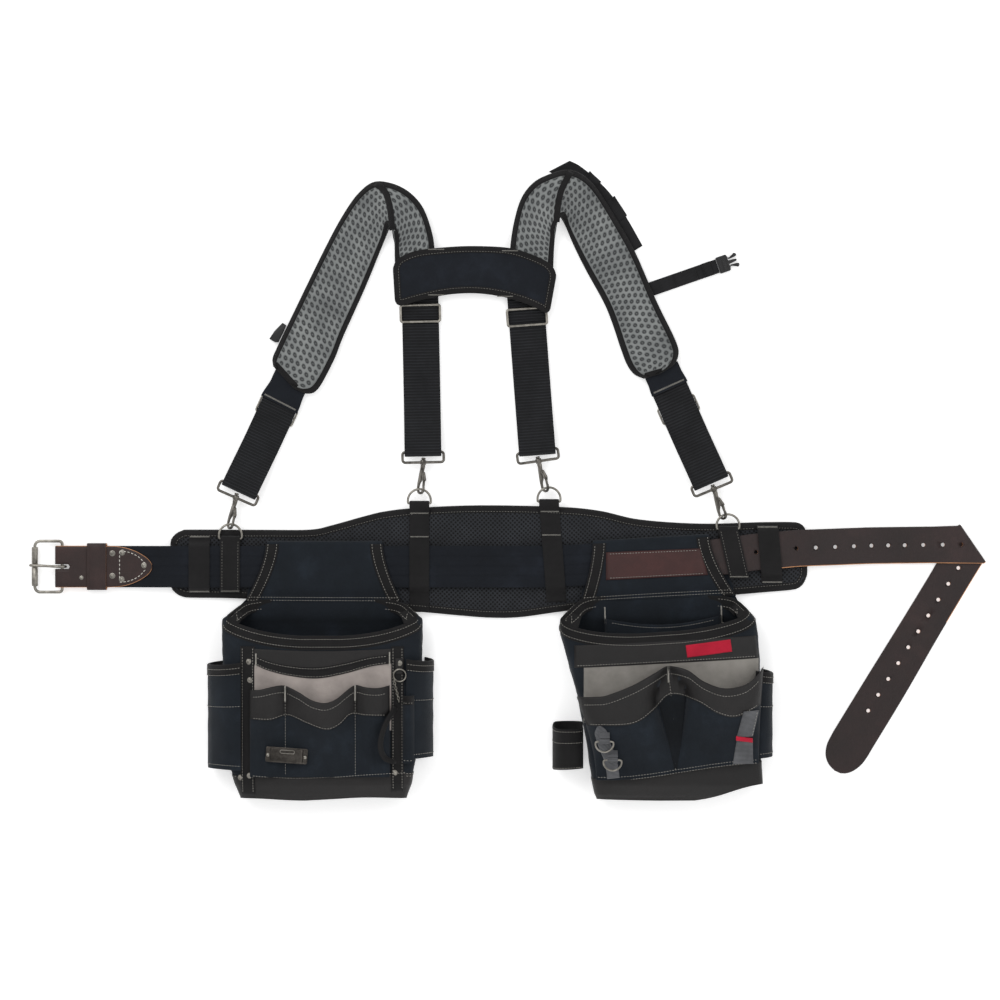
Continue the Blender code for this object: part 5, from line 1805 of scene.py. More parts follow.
LEFT_ROWS = [
    (-0.4425, -0.3665, -0.1425, 0.008, 0.042), (-0.433, -0.3705, -0.139, 0.003, 0.048),
    (-0.42, -0.3755, -0.1345, 0.0006, 0.0535), (-0.39, -0.385, -0.128, 0.0004, 0.056),
    (-0.3, -0.3905, -0.1215, 0.0004, 0.0565), (-0.235, -0.3935, -0.1185, 0.0004, 0.056),
    (-0.215, -0.3945, -0.118, 0.001, 0.055), (-0.2, -0.3945, -0.118, 0.006, 0.0535),
    (-0.193, -0.3935, -0.1185, 0.0105, 0.0525), (-0.184, -0.38, -0.13, 0.0122, 0.05),
    (-0.166, -0.36, -0.152, 0.0132, 0.048),
]
RIGHT_ROWS = [
    (-0.44, 0.122, 0.342, 0.008, 0.042), (-0.434, 0.119, 0.347, 0.003, 0.048),
    (-0.42, 0.116, 0.349, 0.0006, 0.0535), (-0.37, 0.108, 0.3455, 0.0004, 0.056),
    (-0.3, 0.0955, 0.3435, 0.0004, 0.0565), (-0.25, 0.0815, 0.3455, 0.0004, 0.056),
    (-0.215, 0.0715, 0.3425, 0.001, 0.055), (-0.2, 0.07, 0.3405, 0.006, 0.0535),
    (-0.193, 0.071, 0.3395, 0.0105, 0.0525), (-0.18, 0.086, 0.328, 0.0122, 0.05),
    (-0.16, 0.105, 0.308, 0.0132, 0.048),
]


def right_mouth(u):
    return -0.204 + 0.0175 * u - 0.0165 * (1 - abs(2 * u - 1) ** 2.4)


def right_low(u):
    return -0.44 - 0.0015 * math.sin(math.pi * u) + 0.0215 * ease((u - 0.58) / 0.42)


def chain_y(points):
    return along_x(smooth([(*p, 0) for p in points], 8))


def side_pocket(name, body, node, path, low_y, top_y):
    """A pocket wrapped round the pouch's side: its section runs from the front face round to the back."""
    section = smooth(path, 5)
    left, right, outs = [], [], []
    for i, p in enumerate(section):
        share = i / (len(section) - 1)
        belly = math.sin(math.pi * share) * 0.0012
        left.append(Vector((p.x, low_y + 0.002 * math.sin(3 * share), p.z)))
        right.append(Vector((p.x, top_y - 0.0035 * math.sin(math.pi * share), p.z + belly)))

    def outside(d, s, t):
        return 0.0009 + 0.0007 * ripple(s, t * 0.15, 0.022, 4) * ease(d / 0.01)

    piece = sheet_piece(f"{name}_cloth", left, right, CLOTH, body, 0.0019, inner=26, top=outside)
    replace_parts(piece, node)
    last = len(right) - 1
    centre = Vector((sum(p.x for p in right) / len(right), 0, 0.025))
    for i, b in enumerate(right):
        out = (right[min(i + 1, last)] - right[max(i - 1, 0)]).cross(Vector((0, 1, 0))).normalized()
        outs.append(-out if out.dot(Vector((b.x, 0, b.z)) - centre) < 0 else out)
    ups = [(b - a).normalized() for a, b in zip(left, right)]
    loops = []
    for b, up, out in zip(right, ups, outs):
        a = b - up * 0.0145
        loops.append(
            [
                a + out * 0.001, a + up * 0.0006 + out * 0.002, b - up * 0.0005 + out * 0.002,
                b + up * 0.0007 + out * 0.001, b + up * 0.0007 - out * 0.0009,
                b - up * 0.0005 - out * 0.0016, a + up * 0.0006 - out * 0.0016, a - out * 0.0009,
            ]
        )
    Shape().loft(loops).make(f"{name}_hem", TAPE, body)
    for inset in (0.006, 0.014):
        sew(body, [b - up * inset + out * 0.0022 for b, up, out in zip(right, ups, outs)][1:-1])
    sew(body, [a + up * 0.006 + out * 0.0014 for a, up, out in zip(left, ups, outs)][1:-1])
    sew(body, [a.lerp(b, 0.6) + out * 0.0016 for a, b, out in zip(left, right, outs)][1:-1])
    return piece


def edge_band(name, xs, top_y, low_y, height, body, look, lean=upright, foot=None):
    """A band along a pocket's upper edge: laid on its outer face and folded over into it."""
    rings, cloth, thick = [], [], 0.0012
    for x in xs:
        t, l = top_y(x), low_y(x)
        outer, places = [], []
        for share in (0.0, 0.02, 0.25, 0.5, 0.75, 0.95, 1.0):
            y = l + (t - l) * share
            rise = thick * (0.4 if share == 0.0 else 1.0)
            outer.append(Vector((x, y, height(x, y) + rise)))
            places.append((x, y, 0.0))
        outer.append(Vector((x, t + 0.0012, height(x, t) - 0.0002)))
        places.append((x, t + 0.0012, 0.0))
        inner = [Vector((x, t + 0.0012, height(x, t) - 0.0018))]
        inner.append(Vector((x, t, height(x, t) - 0.0031)))
        for share in (0.75, 0.5, 0.25, 0.1, 0.02, 0.0):
            y = l + (t - l) * share
            drop = 0.0031 if share > 0.6 else 0.0006
            inner.append(Vector((x, y, height(x, y) - drop)))
        cloth.append(places + [(p.x, p.y, 0.0) for p in inner])
        for p in outer + inner:
            p.x = lean(x, (p.y - foot(x)) / (t - foot(x))) if foot else x
        rings.append(outer + inner)
    return Shape().loft(rings, cloth=cloth).make(name, look, body)


def make_left_pouch():
    """The left pouch: shell, rim, slopes, boot, tunnel, front and two side pockets."""
    body = "left_pouch"
    pouch = Pouch(body, LEFT_ROWS, left_low, left_mouth, -0.166, seed=2.0)
    shell = pouch.make("left_pouch_shell", CLOTH, ["left_pouch_body"])
    pouch.rim("left_pouch_rim", 0.0185, (0.004, 0.0145), TAPE)
    for label, right in (("left", False), ("right", True)):
        pouch.slope(f"left_pouch_{label}_slope", right, 0.0165, TAPE)
    boot = pouch.boot("left_pouch_boot", lambda x: -0.4075 + 0.003 * ease((x + 0.26) / 0.1), BLACK_HIDE)
    panel, left, right = tunnel(
        "left_tunnel", body, -0.334, -0.1746, -0.362, -0.15, -0.388, -0.145, -0.0872, -0.166, -0.1905
    )
    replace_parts(panel, "left_pouch_tunnel")
    trims = tunnel_trim("left_tunnel", body, Ground(panel), left, right, 0.018)
    over = Ground(panel, *trims)
    for y in (-0.164, -0.1682):
        sew_on(over, body, [(-0.361, y), (-0.256, y - 0.0006), (-0.151, y - 0.001)])
    ground = Ground(shell, boot)
    make_left_front(body, ground, boot)
    front = -0.366
    path = [
        (front, 0, 0.0585), (-0.376, 0, 0.059), (-0.387, 0, 0.0568), (-0.3985, 0, 0.05), (-0.4085, 0, 0.04),
        (-0.4135, 0, 0.027), (-0.4125, 0, 0.014), (-0.406, 0, 0.005), (-0.396, 0, 0.0022),
    ]
    side_pocket("left_outer_pocket", body, "left_outer_side_pocket", path, -0.4, -0.253)
    path = [
        (-0.14, 0, 0.057), (-0.131, 0, 0.056), (-0.121, 0, 0.05), (-0.112, 0, 0.041), (-0.106, 0, 0.029),
        (-0.105, 0, 0.016), (-0.109, 0, 0.006), (-0.116, 0, 0.0024),
    ]
    side_pocket("left_inner_pocket", body, "left_inner_side_pocket", path, -0.385, -0.248)


def make_left_front(body, ground, boot):
    """What is sewn to the left pouch's front."""
    face = 0.059
    lining_top, lining_low = chain_y(
        [(-0.35, -0.252), (-0.305, -0.258), (-0.255, -0.266), (-0.205, -0.26), (-0.16, -0.252)]
    ), lambda x: -0.345
    xs = np.linspace(-0.35, -0.16, 60)
    left = [Vector((x, lining_low(x), 0)) for x in xs]
    right = [Vector((x, lining_top(x), 0)) for x in xs]
    lining = laid("left_suede_lining", ground, left, right, SUEDE, body, thick=0.001, inner=14)
    band_mid = chain_y(
        [
            (-0.348, -0.248), (-0.33, -0.256), (-0.3, -0.263), (-0.262, -0.266), (-0.225, -0.26),
            (-0.19, -0.251), (-0.16, -0.247),
        ]
    )
    wide = lambda x: 0.0068 + 0.0008 * math.cos((x + 0.255) * 30)
    over = Ground(lining, earlier("left_pouch_shell"))
    band_left = [Vector((x, band_mid(x) - wide(x), 0)) for x in xs]
    band_right = [Vector((x, band_mid(x) + wide(x), 0)) for x in xs]
    upper_flap = laid(
        "left_upper_flap", over, [Vector((x, band_mid(x) + 0.004, 0)) for x in xs],
        [Vector((x, -0.233 - 0.003 * math.cos((x + 0.255) * 16), 0)) for x in xs], BLACK_HIDE, body,
        thick=0.0012, inner=8,
    )
    over = Ground(lining, upper_flap, earlier("left_pouch_shell"))
    band = laid("left_webbing_band", over, band_left, band_right, LOOP_TAPE, body, thick=0.0017, inner=5)
    over_band = Ground(band)
    for share in (-0.72, 0.72):
        sew_on(over_band, body, [(x, band_mid(x) + wide(x) * share) for x in xs[2:-2]])
    for x in (-0.3455, -0.1628):
        bartack(over_band, body, (x, band_mid(x) - 0.0095), (x, band_mid(x) + 0.0095))
    strips = []
    for label, centre, top, low, width in (
        ("left", -0.3572, -0.23, -0.435, 0.02), ("right", -0.152, -0.23, -0.43, 0.017)
    ):
        path = [Vector((centre, y, 0)) for y in np.linspace(top, low, 60)]
        base = Ground(earlier("left_pouch_shell"), boot)
        strips.append(
            laid(
                f"left_front_{label}_tape", base, beside(path, width / 2), beside(path, -width / 2), TAPE, body,
                thick=0.0012, inner=4,
            )
        )
        top_ground = Ground(strips[-1])
        for shift in (-width * 0.36, width * 0.36):
            sew_on(
                top_ground, body, [(centre + shift, top - 0.003), (centre + shift, low + 0.004)], curved=False
            )
    top_y = chain_y(
        [
            (-0.3535, -0.29), (-0.34, -0.2895), (-0.32, -0.285), (-0.305, -0.2845), (-0.285, -0.293),
            (-0.268, -0.303), (-0.25, -0.307), (-0.235, -0.302), (-0.22, -0.29), (-0.209, -0.2835),
            (-0.195, -0.286), (-0.178, -0.287), (-0.1625, -0.284),
        ]
    )
    low_y = lambda x: -0.4085
    seams = (-0.3535, -0.305, -0.2095, -0.1625)
    depths = (0.012, 0.0185, 0.012)

    def stand(x, v):
        k = max(i for i in range(3) if x >= seams[i] - 1e-9)
        u = min(max((x - seams[k]) / (seams[k + 1] - seams[k]), 0), 1)
        swell = math.sin(math.pi * u) ** 0.75 if 0 < u < 1 else 0.0
        open_up = 0.1 + 0.9 * ease(v * 0.95) ** 0.8
        z = face + 0.0012 + depths[k] * swell * open_up
        z += 0.003 * ease((v - 0.25) / 0.75)
        creases = 0.0008 * ripple(x, v * 0.12, 0.02, 11)
        return z + (creases * swell + 0.001 * math.sin(26 * u + 9 * v) * swell * (1 - v) * 0.5)

    def height(x, y):
        return stand(x, (y - low_y(x)) / (top_y(x) - low_y(x)))

    xs = sorted(
        {*np.linspace(seams[0], seams[3], 110), *seams, *[s + d for s in seams[1:3] for d in (-0.0008, 0.0008)]}
    )
    pockets = relief("left_front_pocket_cloth", xs, low_y, top_y, stand, CLOTH, body)
    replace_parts(pockets, "left_front_pockets")
    band_low = chain_y(
        [
            (-0.3535, -0.329), (-0.325, -0.33), (-0.301, -0.324), (-0.275, -0.334), (-0.248, -0.343),
            (-0.23, -0.336), (-0.216, -0.323), (-0.195, -0.324), (-0.1625, -0.325),
        ]
    )
    edge = edge_band("left_front_pocket_band", xs, top_y, band_low, height, body, BLACK_HIDE)
    front = Ground(pockets, edge)
    for shift, chain in ((-0.0085, top_y), (0.0018, band_low)):
        sew_on(front, body, [(x, chain(x) + shift) for x in xs[3:-3]])
    for x in (-0.305, -0.2095):
        sew_on(front, body, [(x, -0.3045), (x, -0.406)], curved=False)
        bartack(front, body, (x, top_y(x) - 0.02), (x, top_y(x) + 0.0012), 0.0024)
    hem = [(-0.372, -0.405), (-0.3, -0.41), (-0.24, -0.4085), (-0.19, -0.405), (-0.14, -0.4025)]
    sew_on(Ground(pockets, boot), body, hem)
    for side_x, other_x in ((-0.385, -0.372), (-0.14, -0.129)):
        for shift in (0.0, 0.0035):
            sew_on(Ground(boot), body, [(side_x, -0.408 + shift), (other_x, -0.4085 + shift)], curved=False)
    make_clip(body, front)
    all_front = Ground(pockets, edge, *strips, boot, earlier("left_pouch_shell"))
    for x, y in (
        (-0.355, -0.251), (-0.3535, -0.276), (-0.3545, -0.407), (-0.367, -0.41), (-0.151, -0.254),
        (-0.156, -0.403),
    ):
        rivet(all_front, body, x, y, 0.0029)
    make_key_clip(body, all_front)


def make_clip(body, ground):
    """Tape clip: a riveted plate with a raised bridge and a slot."""
    low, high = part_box("tape_clip")
    centre = Vector(((low.x + high.x) / 2, (low.y + high.y) / 2, high.z))
    turn = Matrix.Rotation(math.radians(-4), 3, "Z")

    def place(p):
        return centre + turn @ p

    def rounded(half_x, half_y, corner):
        points = []
        for sx, sy, start in ((1, -1, -90), (1, 1, 0), (-1, 1, 90), (-1, -1, 180)):
            for step in range(6):
                angle = math.radians(start + 18 * step)
                points.append(
                    (
                        sx * (half_x - corner) + corner * math.cos(angle),
                        sy * (half_y - corner) + corner * math.sin(angle),
                    )
                )
        return points

    plate = Shape()
    spots = [
        (centre.x + dx, centre.y + dy)
        for dx in (-0.028, -0.014, 0.0, 0.014, 0.028)
        for dy in (-0.009, 0.0, 0.009)
    ]
    base_z = max(ground.height(*spot) for spot in spots) + 0.0006 - centre.z
    filled(
        plate,
        cast_plate(
            rounded(0.0285, 0.0105, 0.0022), 0.0012, lambda p: place(p + Vector((0, 0, base_z + 0.0006))),
            0.0003,
        ),
    )
    base = plate.make("tape_clip_plate", DARK_NICKEL, body, sharp=40)
    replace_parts(base, "tape_clip")
    profile = [
        (-0.025, 0.0002), (-0.0225, 0.0004), (-0.0213, 0.0022), (-0.0195, 0.0036), (0.0, 0.004),
        (0.0195, 0.0036), (0.0213, 0.0022), (0.0225, 0.0004), (0.025, 0.0002),
    ]
    path = smooth([(x, 0, z) for x, z in profile], 4)
    left = [place(Vector((p.x, -0.0086, base_z + 0.0012 + p.z))) for p in path]
    right = [place(Vector((p.x, 0.0092, base_z + 0.0012 + p.z))) for p in path]
    sheet_piece("tape_clip_bridge", left, right, DARK_NICKEL, body, 0.0011, inner=6)
    slot = [place(Vector((x, y, base_z + 0.0058))) for x, y in rounded(0.0098, 0.0022, 0.002)]
    tube(
        "tape_clip_slot", [p + turn @ Vector((0.001, 0.0052, 0)) for p in slot], 0.0005, NICKEL, body, sides=8,
    )
    shape = RIVETS.setdefault(body, Shape())
    for x in (-0.0315 + 0.006, 0.0315 - 0.006):
        spot = place(Vector((x * 0.985, -0.001, base_z + 0.0016)))
        shape.loft(turned_rings(spot, (0, 0, 1), [(r * 0.0026, h * 0.9) for r, h in RIVET_PROFILE], 20))


def make_key_clip(body, ground):
    """Small ring on a leather tab, with a short chain, a hanging loop of tape and a pen pocket."""
    x = -0.149
    tab = laid(
        "key_tab", ground, [Vector((x - 0.006, q, 0)) for q in np.linspace(-0.246, -0.268, 14)],
        [Vector((x + 0.006, q, 0)) for q in np.linspace(-0.246, -0.268, 14)], BLACK_HIDE, body, thick=0.0014,
    )
    over = Ground(tab)
    rivet(over, body, x - 0.0002, -0.253, 0.0028)
    z = ground.height(x, -0.27) + 0.003
    ring = [
        Vector((x + 0.0085 * math.cos(a), -0.2695 + 0.0085 * math.sin(a), z + 0.0012 * math.sin(a)))
        for a in np.linspace(0, 2 * math.pi, 40)[:-1]
    ]
    tube("key_ring", ring, 0.001, NICKEL, body)
    shape = Shape()
    spot = Vector((x - 0.0075, -0.277, z + 0.0004))
    for k in range(9):
        centre = spot + Vector((0.0008 * k, -0.0034 * k, 0.0))
        wide, high = (0.0014, 0.0004) if k % 2 else (0.0004, 0.0014)
        link = [
            centre + Vector((wide * math.cos(a), 0.0023 * math.sin(a), high * math.cos(a)))
            for a in np.linspace(0, 2 * math.pi, 17)[:-1]
        ]
        shape.loft(tube_rings(link, 0.00055, 7, loop=True), loop=True)
    shape.make("key_chain", NICKEL, body)
    path = [
        (-0.154, -0.313), (-0.159, -0.32), (-0.168, -0.336), (-0.1735, -0.354), (-0.174, -0.369),
        (-0.169, -0.381), (-0.159, -0.387), (-0.154, -0.386),
    ]
    left, right = [], []
    spots = flat_path(path, 0.0025)
    for i, p in enumerate(spots):
        share = i / (len(spots) - 1)
        rise = 0.0035 + 0.0085 * math.sin(math.pi * share)
        base = ground.height(p.x, p.y) + rise
        ahead = spots[min(i + 1, len(spots) - 1)] - spots[max(i - 1, 0)]
        side = Vector((-ahead.y, ahead.x, 0)).normalized()
        tilt = Vector((side.x * 0.55, side.y * 0.55, 0.84 * (1 if side.x < 0 else -1)))
        left.append(Vector((p.x, p.y, base)) + tilt * 0.006)
        right.append(Vector((p.x, p.y, base)) - tilt * 0.006)
    for chain in (left, right):
        zs = np.convolve([chain[0].z] * 4 + [p.z for p in chain] + [chain[-1].z] * 4, np.ones(9) / 9, "valid")
        for p, z_even in zip(chain, zs):
            p.z = float(z_even)
    sheet_piece("tape_loop", left, right, LOOP_TAPE, body, 0.0013, inner=5)
    xs = np.linspace(-0.145, -0.129, 22)
    low, top = lambda q: -0.39, lambda q: -0.2985
    base_z = max(ground.height(-0.137, -0.34), 0.055)

    def stand(q, v):
        u = (q + 0.145) / 0.016
        return base_z + 0.0018 + 0.0095 * math.sin(math.pi * min(max(u, 0), 1)) ** 0.8 * (0.45 + 0.55 * v)

    pen = relief("pen_pocket", xs, low, top, stand, CLOTH, body, rows=26)
    height = lambda q, yy: stand(q, (yy - low(q)) / (top(q) - low(q)))
    edge_band("pen_pocket_band", xs, top, lambda q: -0.3095, height, body, TAPE)
    front = Ground(pen)
    sew_on(front, body, [(q, -0.307) for q in xs[2:-2]], lift=0.0013)
    sew_on(front, body, [(q, -0.386) for q in xs[2:-2]])


def make_right_pouch():
    """The right pouch: shell, trims, tunnel with its leather patch, pockets and front."""
    body = "right_pouch"
    pouch = Pouch(body, RIGHT_ROWS, right_low, right_mouth, -0.161, seed=5.0)
    shell = pouch.make("right_pouch_shell", CLOTH, ["right_pouch_body"])
    pouch.rim("right_pouch_rim", 0.0195, (0.004, 0.0155), TAPE)
    for label, right in (("left", False), ("right", True)):
        pouch.slope(f"right_pouch_{label}_slope", right, 0.0175, TAPE)
    boot = pouch.boot("right_pouch_boot", lambda x: -0.412 + 0.024 * ease((x - 0.13) / 0.22), BLACK_HIDE)
    panel, left, right = tunnel(
        "right_tunnel", body, 0.117, 0.2765, 0.101, 0.312, 0.09, 0.33, -0.0868, -0.1675, -0.1905, slant=0.0095
    )
    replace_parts(panel, "right_pouch_tunnel")
    trims = tunnel_trim("right_tunnel", body, Ground(panel), left, right, 0.0185)
    ground = Ground(panel, *trims)
    low, top = (
        [Vector((*start, 0)).lerp(Vector((*end, 0)), t) for t in np.linspace(0, 1, 26)]
        for start, end in (((0.1345, -0.1405), (0.2755, -0.1335)), ((0.1345, -0.102), (0.266, -0.0965)))
    )
    patch = laid("tunnel_leather_patch", Ground(panel), low, top, PATCH, body, thick=0.0015, inner=12)
    for side, inset in ((low, 0.0026), (top, -0.0026)):
        sew_on(Ground(patch), body, [(p.x, p.y + inset) for p in side[1:-1]])
    for y in (-0.165, -0.169):
        sew_on(ground, body, [(0.104, y), (0.208, y + 0.0062), (0.309, y + 0.0112)])
    make_inner_pocket(body)
    make_right_front(body, Ground(shell, boot), boot)
    path = [
        (0.338, 0, 0.056), (0.348, 0, 0.0545), (0.356, 0, 0.049), (0.361, 0, 0.04), (0.3625, 0, 0.029),
        (0.361, 0, 0.016), (0.357, 0, 0.008), (0.351, 0, 0.004),
    ]
    side_pocket("right_side_pocket", body, "right_side_pocket", path, -0.384, -0.264)
    make_hammer_loop(body)


def make_inner_pocket(body):
    """A flat pocket sewn against the inside of the back, behind the mouth."""
    left, right = [], []
    for x in np.linspace(0.133, 0.294, 34):
        share = (x - 0.133) / 0.161
        bulge = math.sin(math.pi * share)
        z = 0.0185 + 0.01 * bulge
        left.append(Vector((x, -0.26, z)))
        right.append(Vector((x, -0.194 - 0.01 * bulge + 0.005 * share, z + 0.003 * bulge)))
    inner = sheet_piece("right_inner_pocket", left, right, CLOTH, body, 0.0018, inner=12)
    ground = Ground(inner, earlier("right_pouch_shell"))
    for x, top in ((0.133, -0.178), (0.294, -0.176)):
        bartack(ground, body, (x, top), (x + 0.001, top - 0.023))
    sew_on(Ground(inner), body, [(p.x, p.y - 0.004) for p in right[2:-2]])


def make_right_front(body, ground, boot):
    """What is sewn to the right pouch's front."""
    face = 0.059
    strip_low = lambda x: -0.2592 + (x - 0.103) * 0.0545
    xs = np.linspace(0.09, 0.343, 60)
    lining = laid(
        "right_suede_lining", ground, [Vector((x, -0.34, 0)) for x in xs[3:]],
        [Vector((x, strip_low(x) + 0.004, 0)) for x in xs[3:]], GREY_LINING, body, thick=0.001, inner=14,
    )
    over = Ground(lining, earlier("right_pouch_shell"))
    strip = laid(
        "right_upper_strip", over, [Vector((x, strip_low(x), 0)) for x in xs],
        [Vector((x, strip_low(x) + 0.031, 0)) for x in xs], BLACK_HIDE, body, thick=0.0013, inner=8,
    )
    upper = Ground(strip, earlier("right_pouch_shell"))
    sew_on(upper, body, [(x, strip_low(x) + 0.0028) for x in xs[1:-1]])
    tilt = math.radians(7.5)
    along = Vector((math.cos(tilt), math.sin(tilt), 0))
    across = Vector((-along.y, along.x, 0))
    centre = Vector((0.2738, -0.2328, 0))
    low = [centre + along * d - across * 0.0085 for d in np.linspace(-0.031, 0.031, 24)]
    top = [centre + along * d + across * 0.0085 for d in np.linspace(-0.031, 0.031, 24)]
    laid(
        "red_label", Ground(strip, earlier("right_pouch_shell"), earlier("right_pouch_rim")),
        low, top, RED, body, thick=0.0012, inner=8,
    )
    ends, seam = (0.093, 0.348), 0.2175
    top_y = chain_y(
        [
            (0.093, -0.2995), (0.115, -0.2985), (0.133, -0.2964), (0.1687, -0.2826), (0.1989, -0.2662),
            (0.2175, -0.2575), (0.2428, -0.262), (0.2647, -0.2771), (0.2922, -0.2867), (0.3196, -0.2826),
            (0.3361, -0.2716), (0.348, -0.258),
        ]
    )
    low_y = lambda x: -0.4125 + 0.023 * ease((x - 0.11) / 0.24)

    def lean(x, v):
        foot = 0.1195 + (x - ends[0]) / (ends[1] - ends[0]) * (0.342 - 0.1195)
        return foot + (x - foot) * ease(min(max(v, 0), 1) * 0.5) * 2 if v < 1 else x

    def opening(v):
        v = min(max(v, 0), 1)
        return 0.0006 + 0.0215 * min(v / 0.72, 1) ** 0.9 * ease((1 - v) / 0.24)

    def stand(x, v):
        gap, middle = opening(v), seam
        if x < middle - gap:
            u, depth = (x - ends[0]) / (middle - gap - ends[0]), 0.0235
        elif x > middle + gap:
            u, depth = (ends[1] - x) / (ends[1] - middle - gap), 0.0235
        else:
            across_gap = abs(x - middle) / gap
            return face + 0.0014 + 0.0008 * (1 - across_gap) + 0.006 * ease((v - 0.86) / 0.14)
        outer = (1 - abs(2 * min(max(u, 0), 1) - 1) ** 3.4) ** 0.62
        body_up = 0.16 + 0.84 * ease(v * 1.25) ** 0.8
        z = face + 0.0012 + depth * outer * body_up + 0.0012 * ease((v - 0.3) / 0.7)
        creases = 0.0009 * ripple(x, v * 0.14, 0.026, 3)
        return z + (0.0006 * math.sin(30 * u + 7 * v) * outer * (1 - v) + creases * outer)

    def height(x, y):
        return stand(x, (y - low_y(x)) / (top_y(x) - low_y(x)))

    xs = sorted({*np.linspace(ends[0], ends[1], 150), seam})
    pockets = relief("right_front_pocket_cloth", xs, low_y, top_y, stand, CLOTH, body, rows=60, lean=lean)
    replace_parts(pockets, "right_front_pockets")
    shares = np.linspace(0.03, 0.8, 30)
    sides = []
    for sign in (-1, 1):
        xs_side = [seam + sign * opening(v) * 0.97 for v in shares]
        sides.append(
            [
                Vector((lean(x, v), low_y(seam) + (top_y(seam) - low_y(seam)) * v, 0))
                for x, v in zip(xs_side, shares)
            ]
        )
    # A dark sheet laid in the gap between the two pockets: painted shade where the gusset lies in shadow.
    laid("right_front_gusset", Ground(pockets), *sides, PAINTED_SHADE_CLOTH, body, thick=0.0008, inner=10)
    band_low = chain_y(
        [
            (0.093, -0.337), (0.1152, -0.337), (0.1604, -0.334), (0.1934, -0.3145), (0.2175, -0.296),
            (0.2538, -0.304), (0.284, -0.3205), (0.3114, -0.3245), (0.348, -0.308),
        ]
    )
    edge = edge_band(
        "right_front_pocket_band", xs, top_y, band_low, height, body, BLACK_HIDE, lean=lean, foot=low_y
    )
    front = Ground(pockets, edge)
    for shift, chain in ((-0.0095, top_y), (0.0022, band_low)):
        line = [
            (lean(x, (chain(x) + shift - low_y(x)) / (top_y(x) - low_y(x))), chain(x) + shift) for x in xs[4:-4]
        ]
        sew_on(front, body, line)
    sew_on(
        front, body,
        [
            (lean(seam, (y - low_y(seam)) / (top_y(seam) - low_y(seam))), y)
            for y in np.linspace(-0.276, -0.4, 12)
        ],
    )
    bartack(front, body, (seam, -0.256), (seam + 0.0008, -0.279), 0.0026)
    for shift in (0.0, 0.0042):
        boots = Ground(boot, pockets)
        sew_on(
            boots, body,
            [(x, -0.4128 + shift + 0.024 * ease((x - 0.13) / 0.22)) for x in np.linspace(0.122, 0.34, 14)],
        )
    make_ring_tape(body, front, (pockets, edge))
    make_grey_ribbon(body, front)


def make_ring_tape(body, ground, pieces):
    """Grey tape folded over two D-rings that hang on the front pocket."""
    spots = [
        (0.1225, -0.337), (0.127, -0.352), (0.1315, -0.366), (0.138, -0.382), (0.1415, -0.398), (0.143, -0.41)
    ]
    path = flat_path(spots, 0.002)
    left, right = beside(path, 0.0085), beside(path, -0.0085)
    for k, point in enumerate(path):
        narrow = ease(0.35 + k / 8)
        left[k] = point.lerp(left[k], narrow)
        right[k] = point.lerp(right[k], narrow)
    tape = Ground(laid("ring_tape", ground, left, right, GREY_TAPE, body, thick=0.0016, inner=5), *pieces)
    for name in ("upper_accessory_ring", "lower_accessory_ring"):
        low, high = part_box(name)
        middle = (low + high) / 2
        a, b = (high.x - low.x) / 2 - 0.0012, (high.y - low.y) / 2 - 0.0012
        points = []
        for step in range(0, 41):
            angle = math.pi + math.pi * step / 40
            points.append((a * math.cos(angle), b * 2.1 * math.sin(angle) + b * 0.45))
        points += [
            (a * 0.98, b * 0.75), (a * 0.8, b * 0.97), (0.0, b), (-a * 0.8, b * 0.97), (-a * 0.98, b * 0.75)
        ]
        points.append(points[0])
        line = even([Vector((middle.x + x, middle.y + y, middle.z)) for x, y in points], 70)[:-1]
        ring = tube(f"{name}_wire", line, 0.0013, NICKEL, name)
        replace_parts(ring, name)
        fold = []
        for turn in np.linspace(-0.5 * math.pi, 1.1 * math.pi, 16):
            fold.append((0.003 * math.sin(turn), 0.003 * math.cos(turn)))
        lefts = [Vector((middle.x - 0.0072, middle.y + b + y, middle.z + z)) for y, z in fold]
        rights = [Vector((middle.x + 0.0072, middle.y + b + y, middle.z + z)) for y, z in fold]
        sheet_piece(f"{name}_fold", lefts, rights, GREY_TAPE, body, 0.0013, inner=4)
        base = tape.height(middle.x, middle.y + b + 0.006)
        flap_left, flap_right = [], []
        for t in np.linspace(0, 1, 8):
            y = middle.y + b + 0.0038 + 0.008 * t
            z = middle.z + 0.0006 + (base + 0.0016 - middle.z - 0.0006) * ease(t)
            flap_left.append(Vector((middle.x - 0.0072, y, z)))
            flap_right.append(Vector((middle.x + 0.0072, y, z)))
        sheet_piece(f"{name}_flap", flap_left, flap_right, GREY_TAPE, body, 0.0013, inner=4)


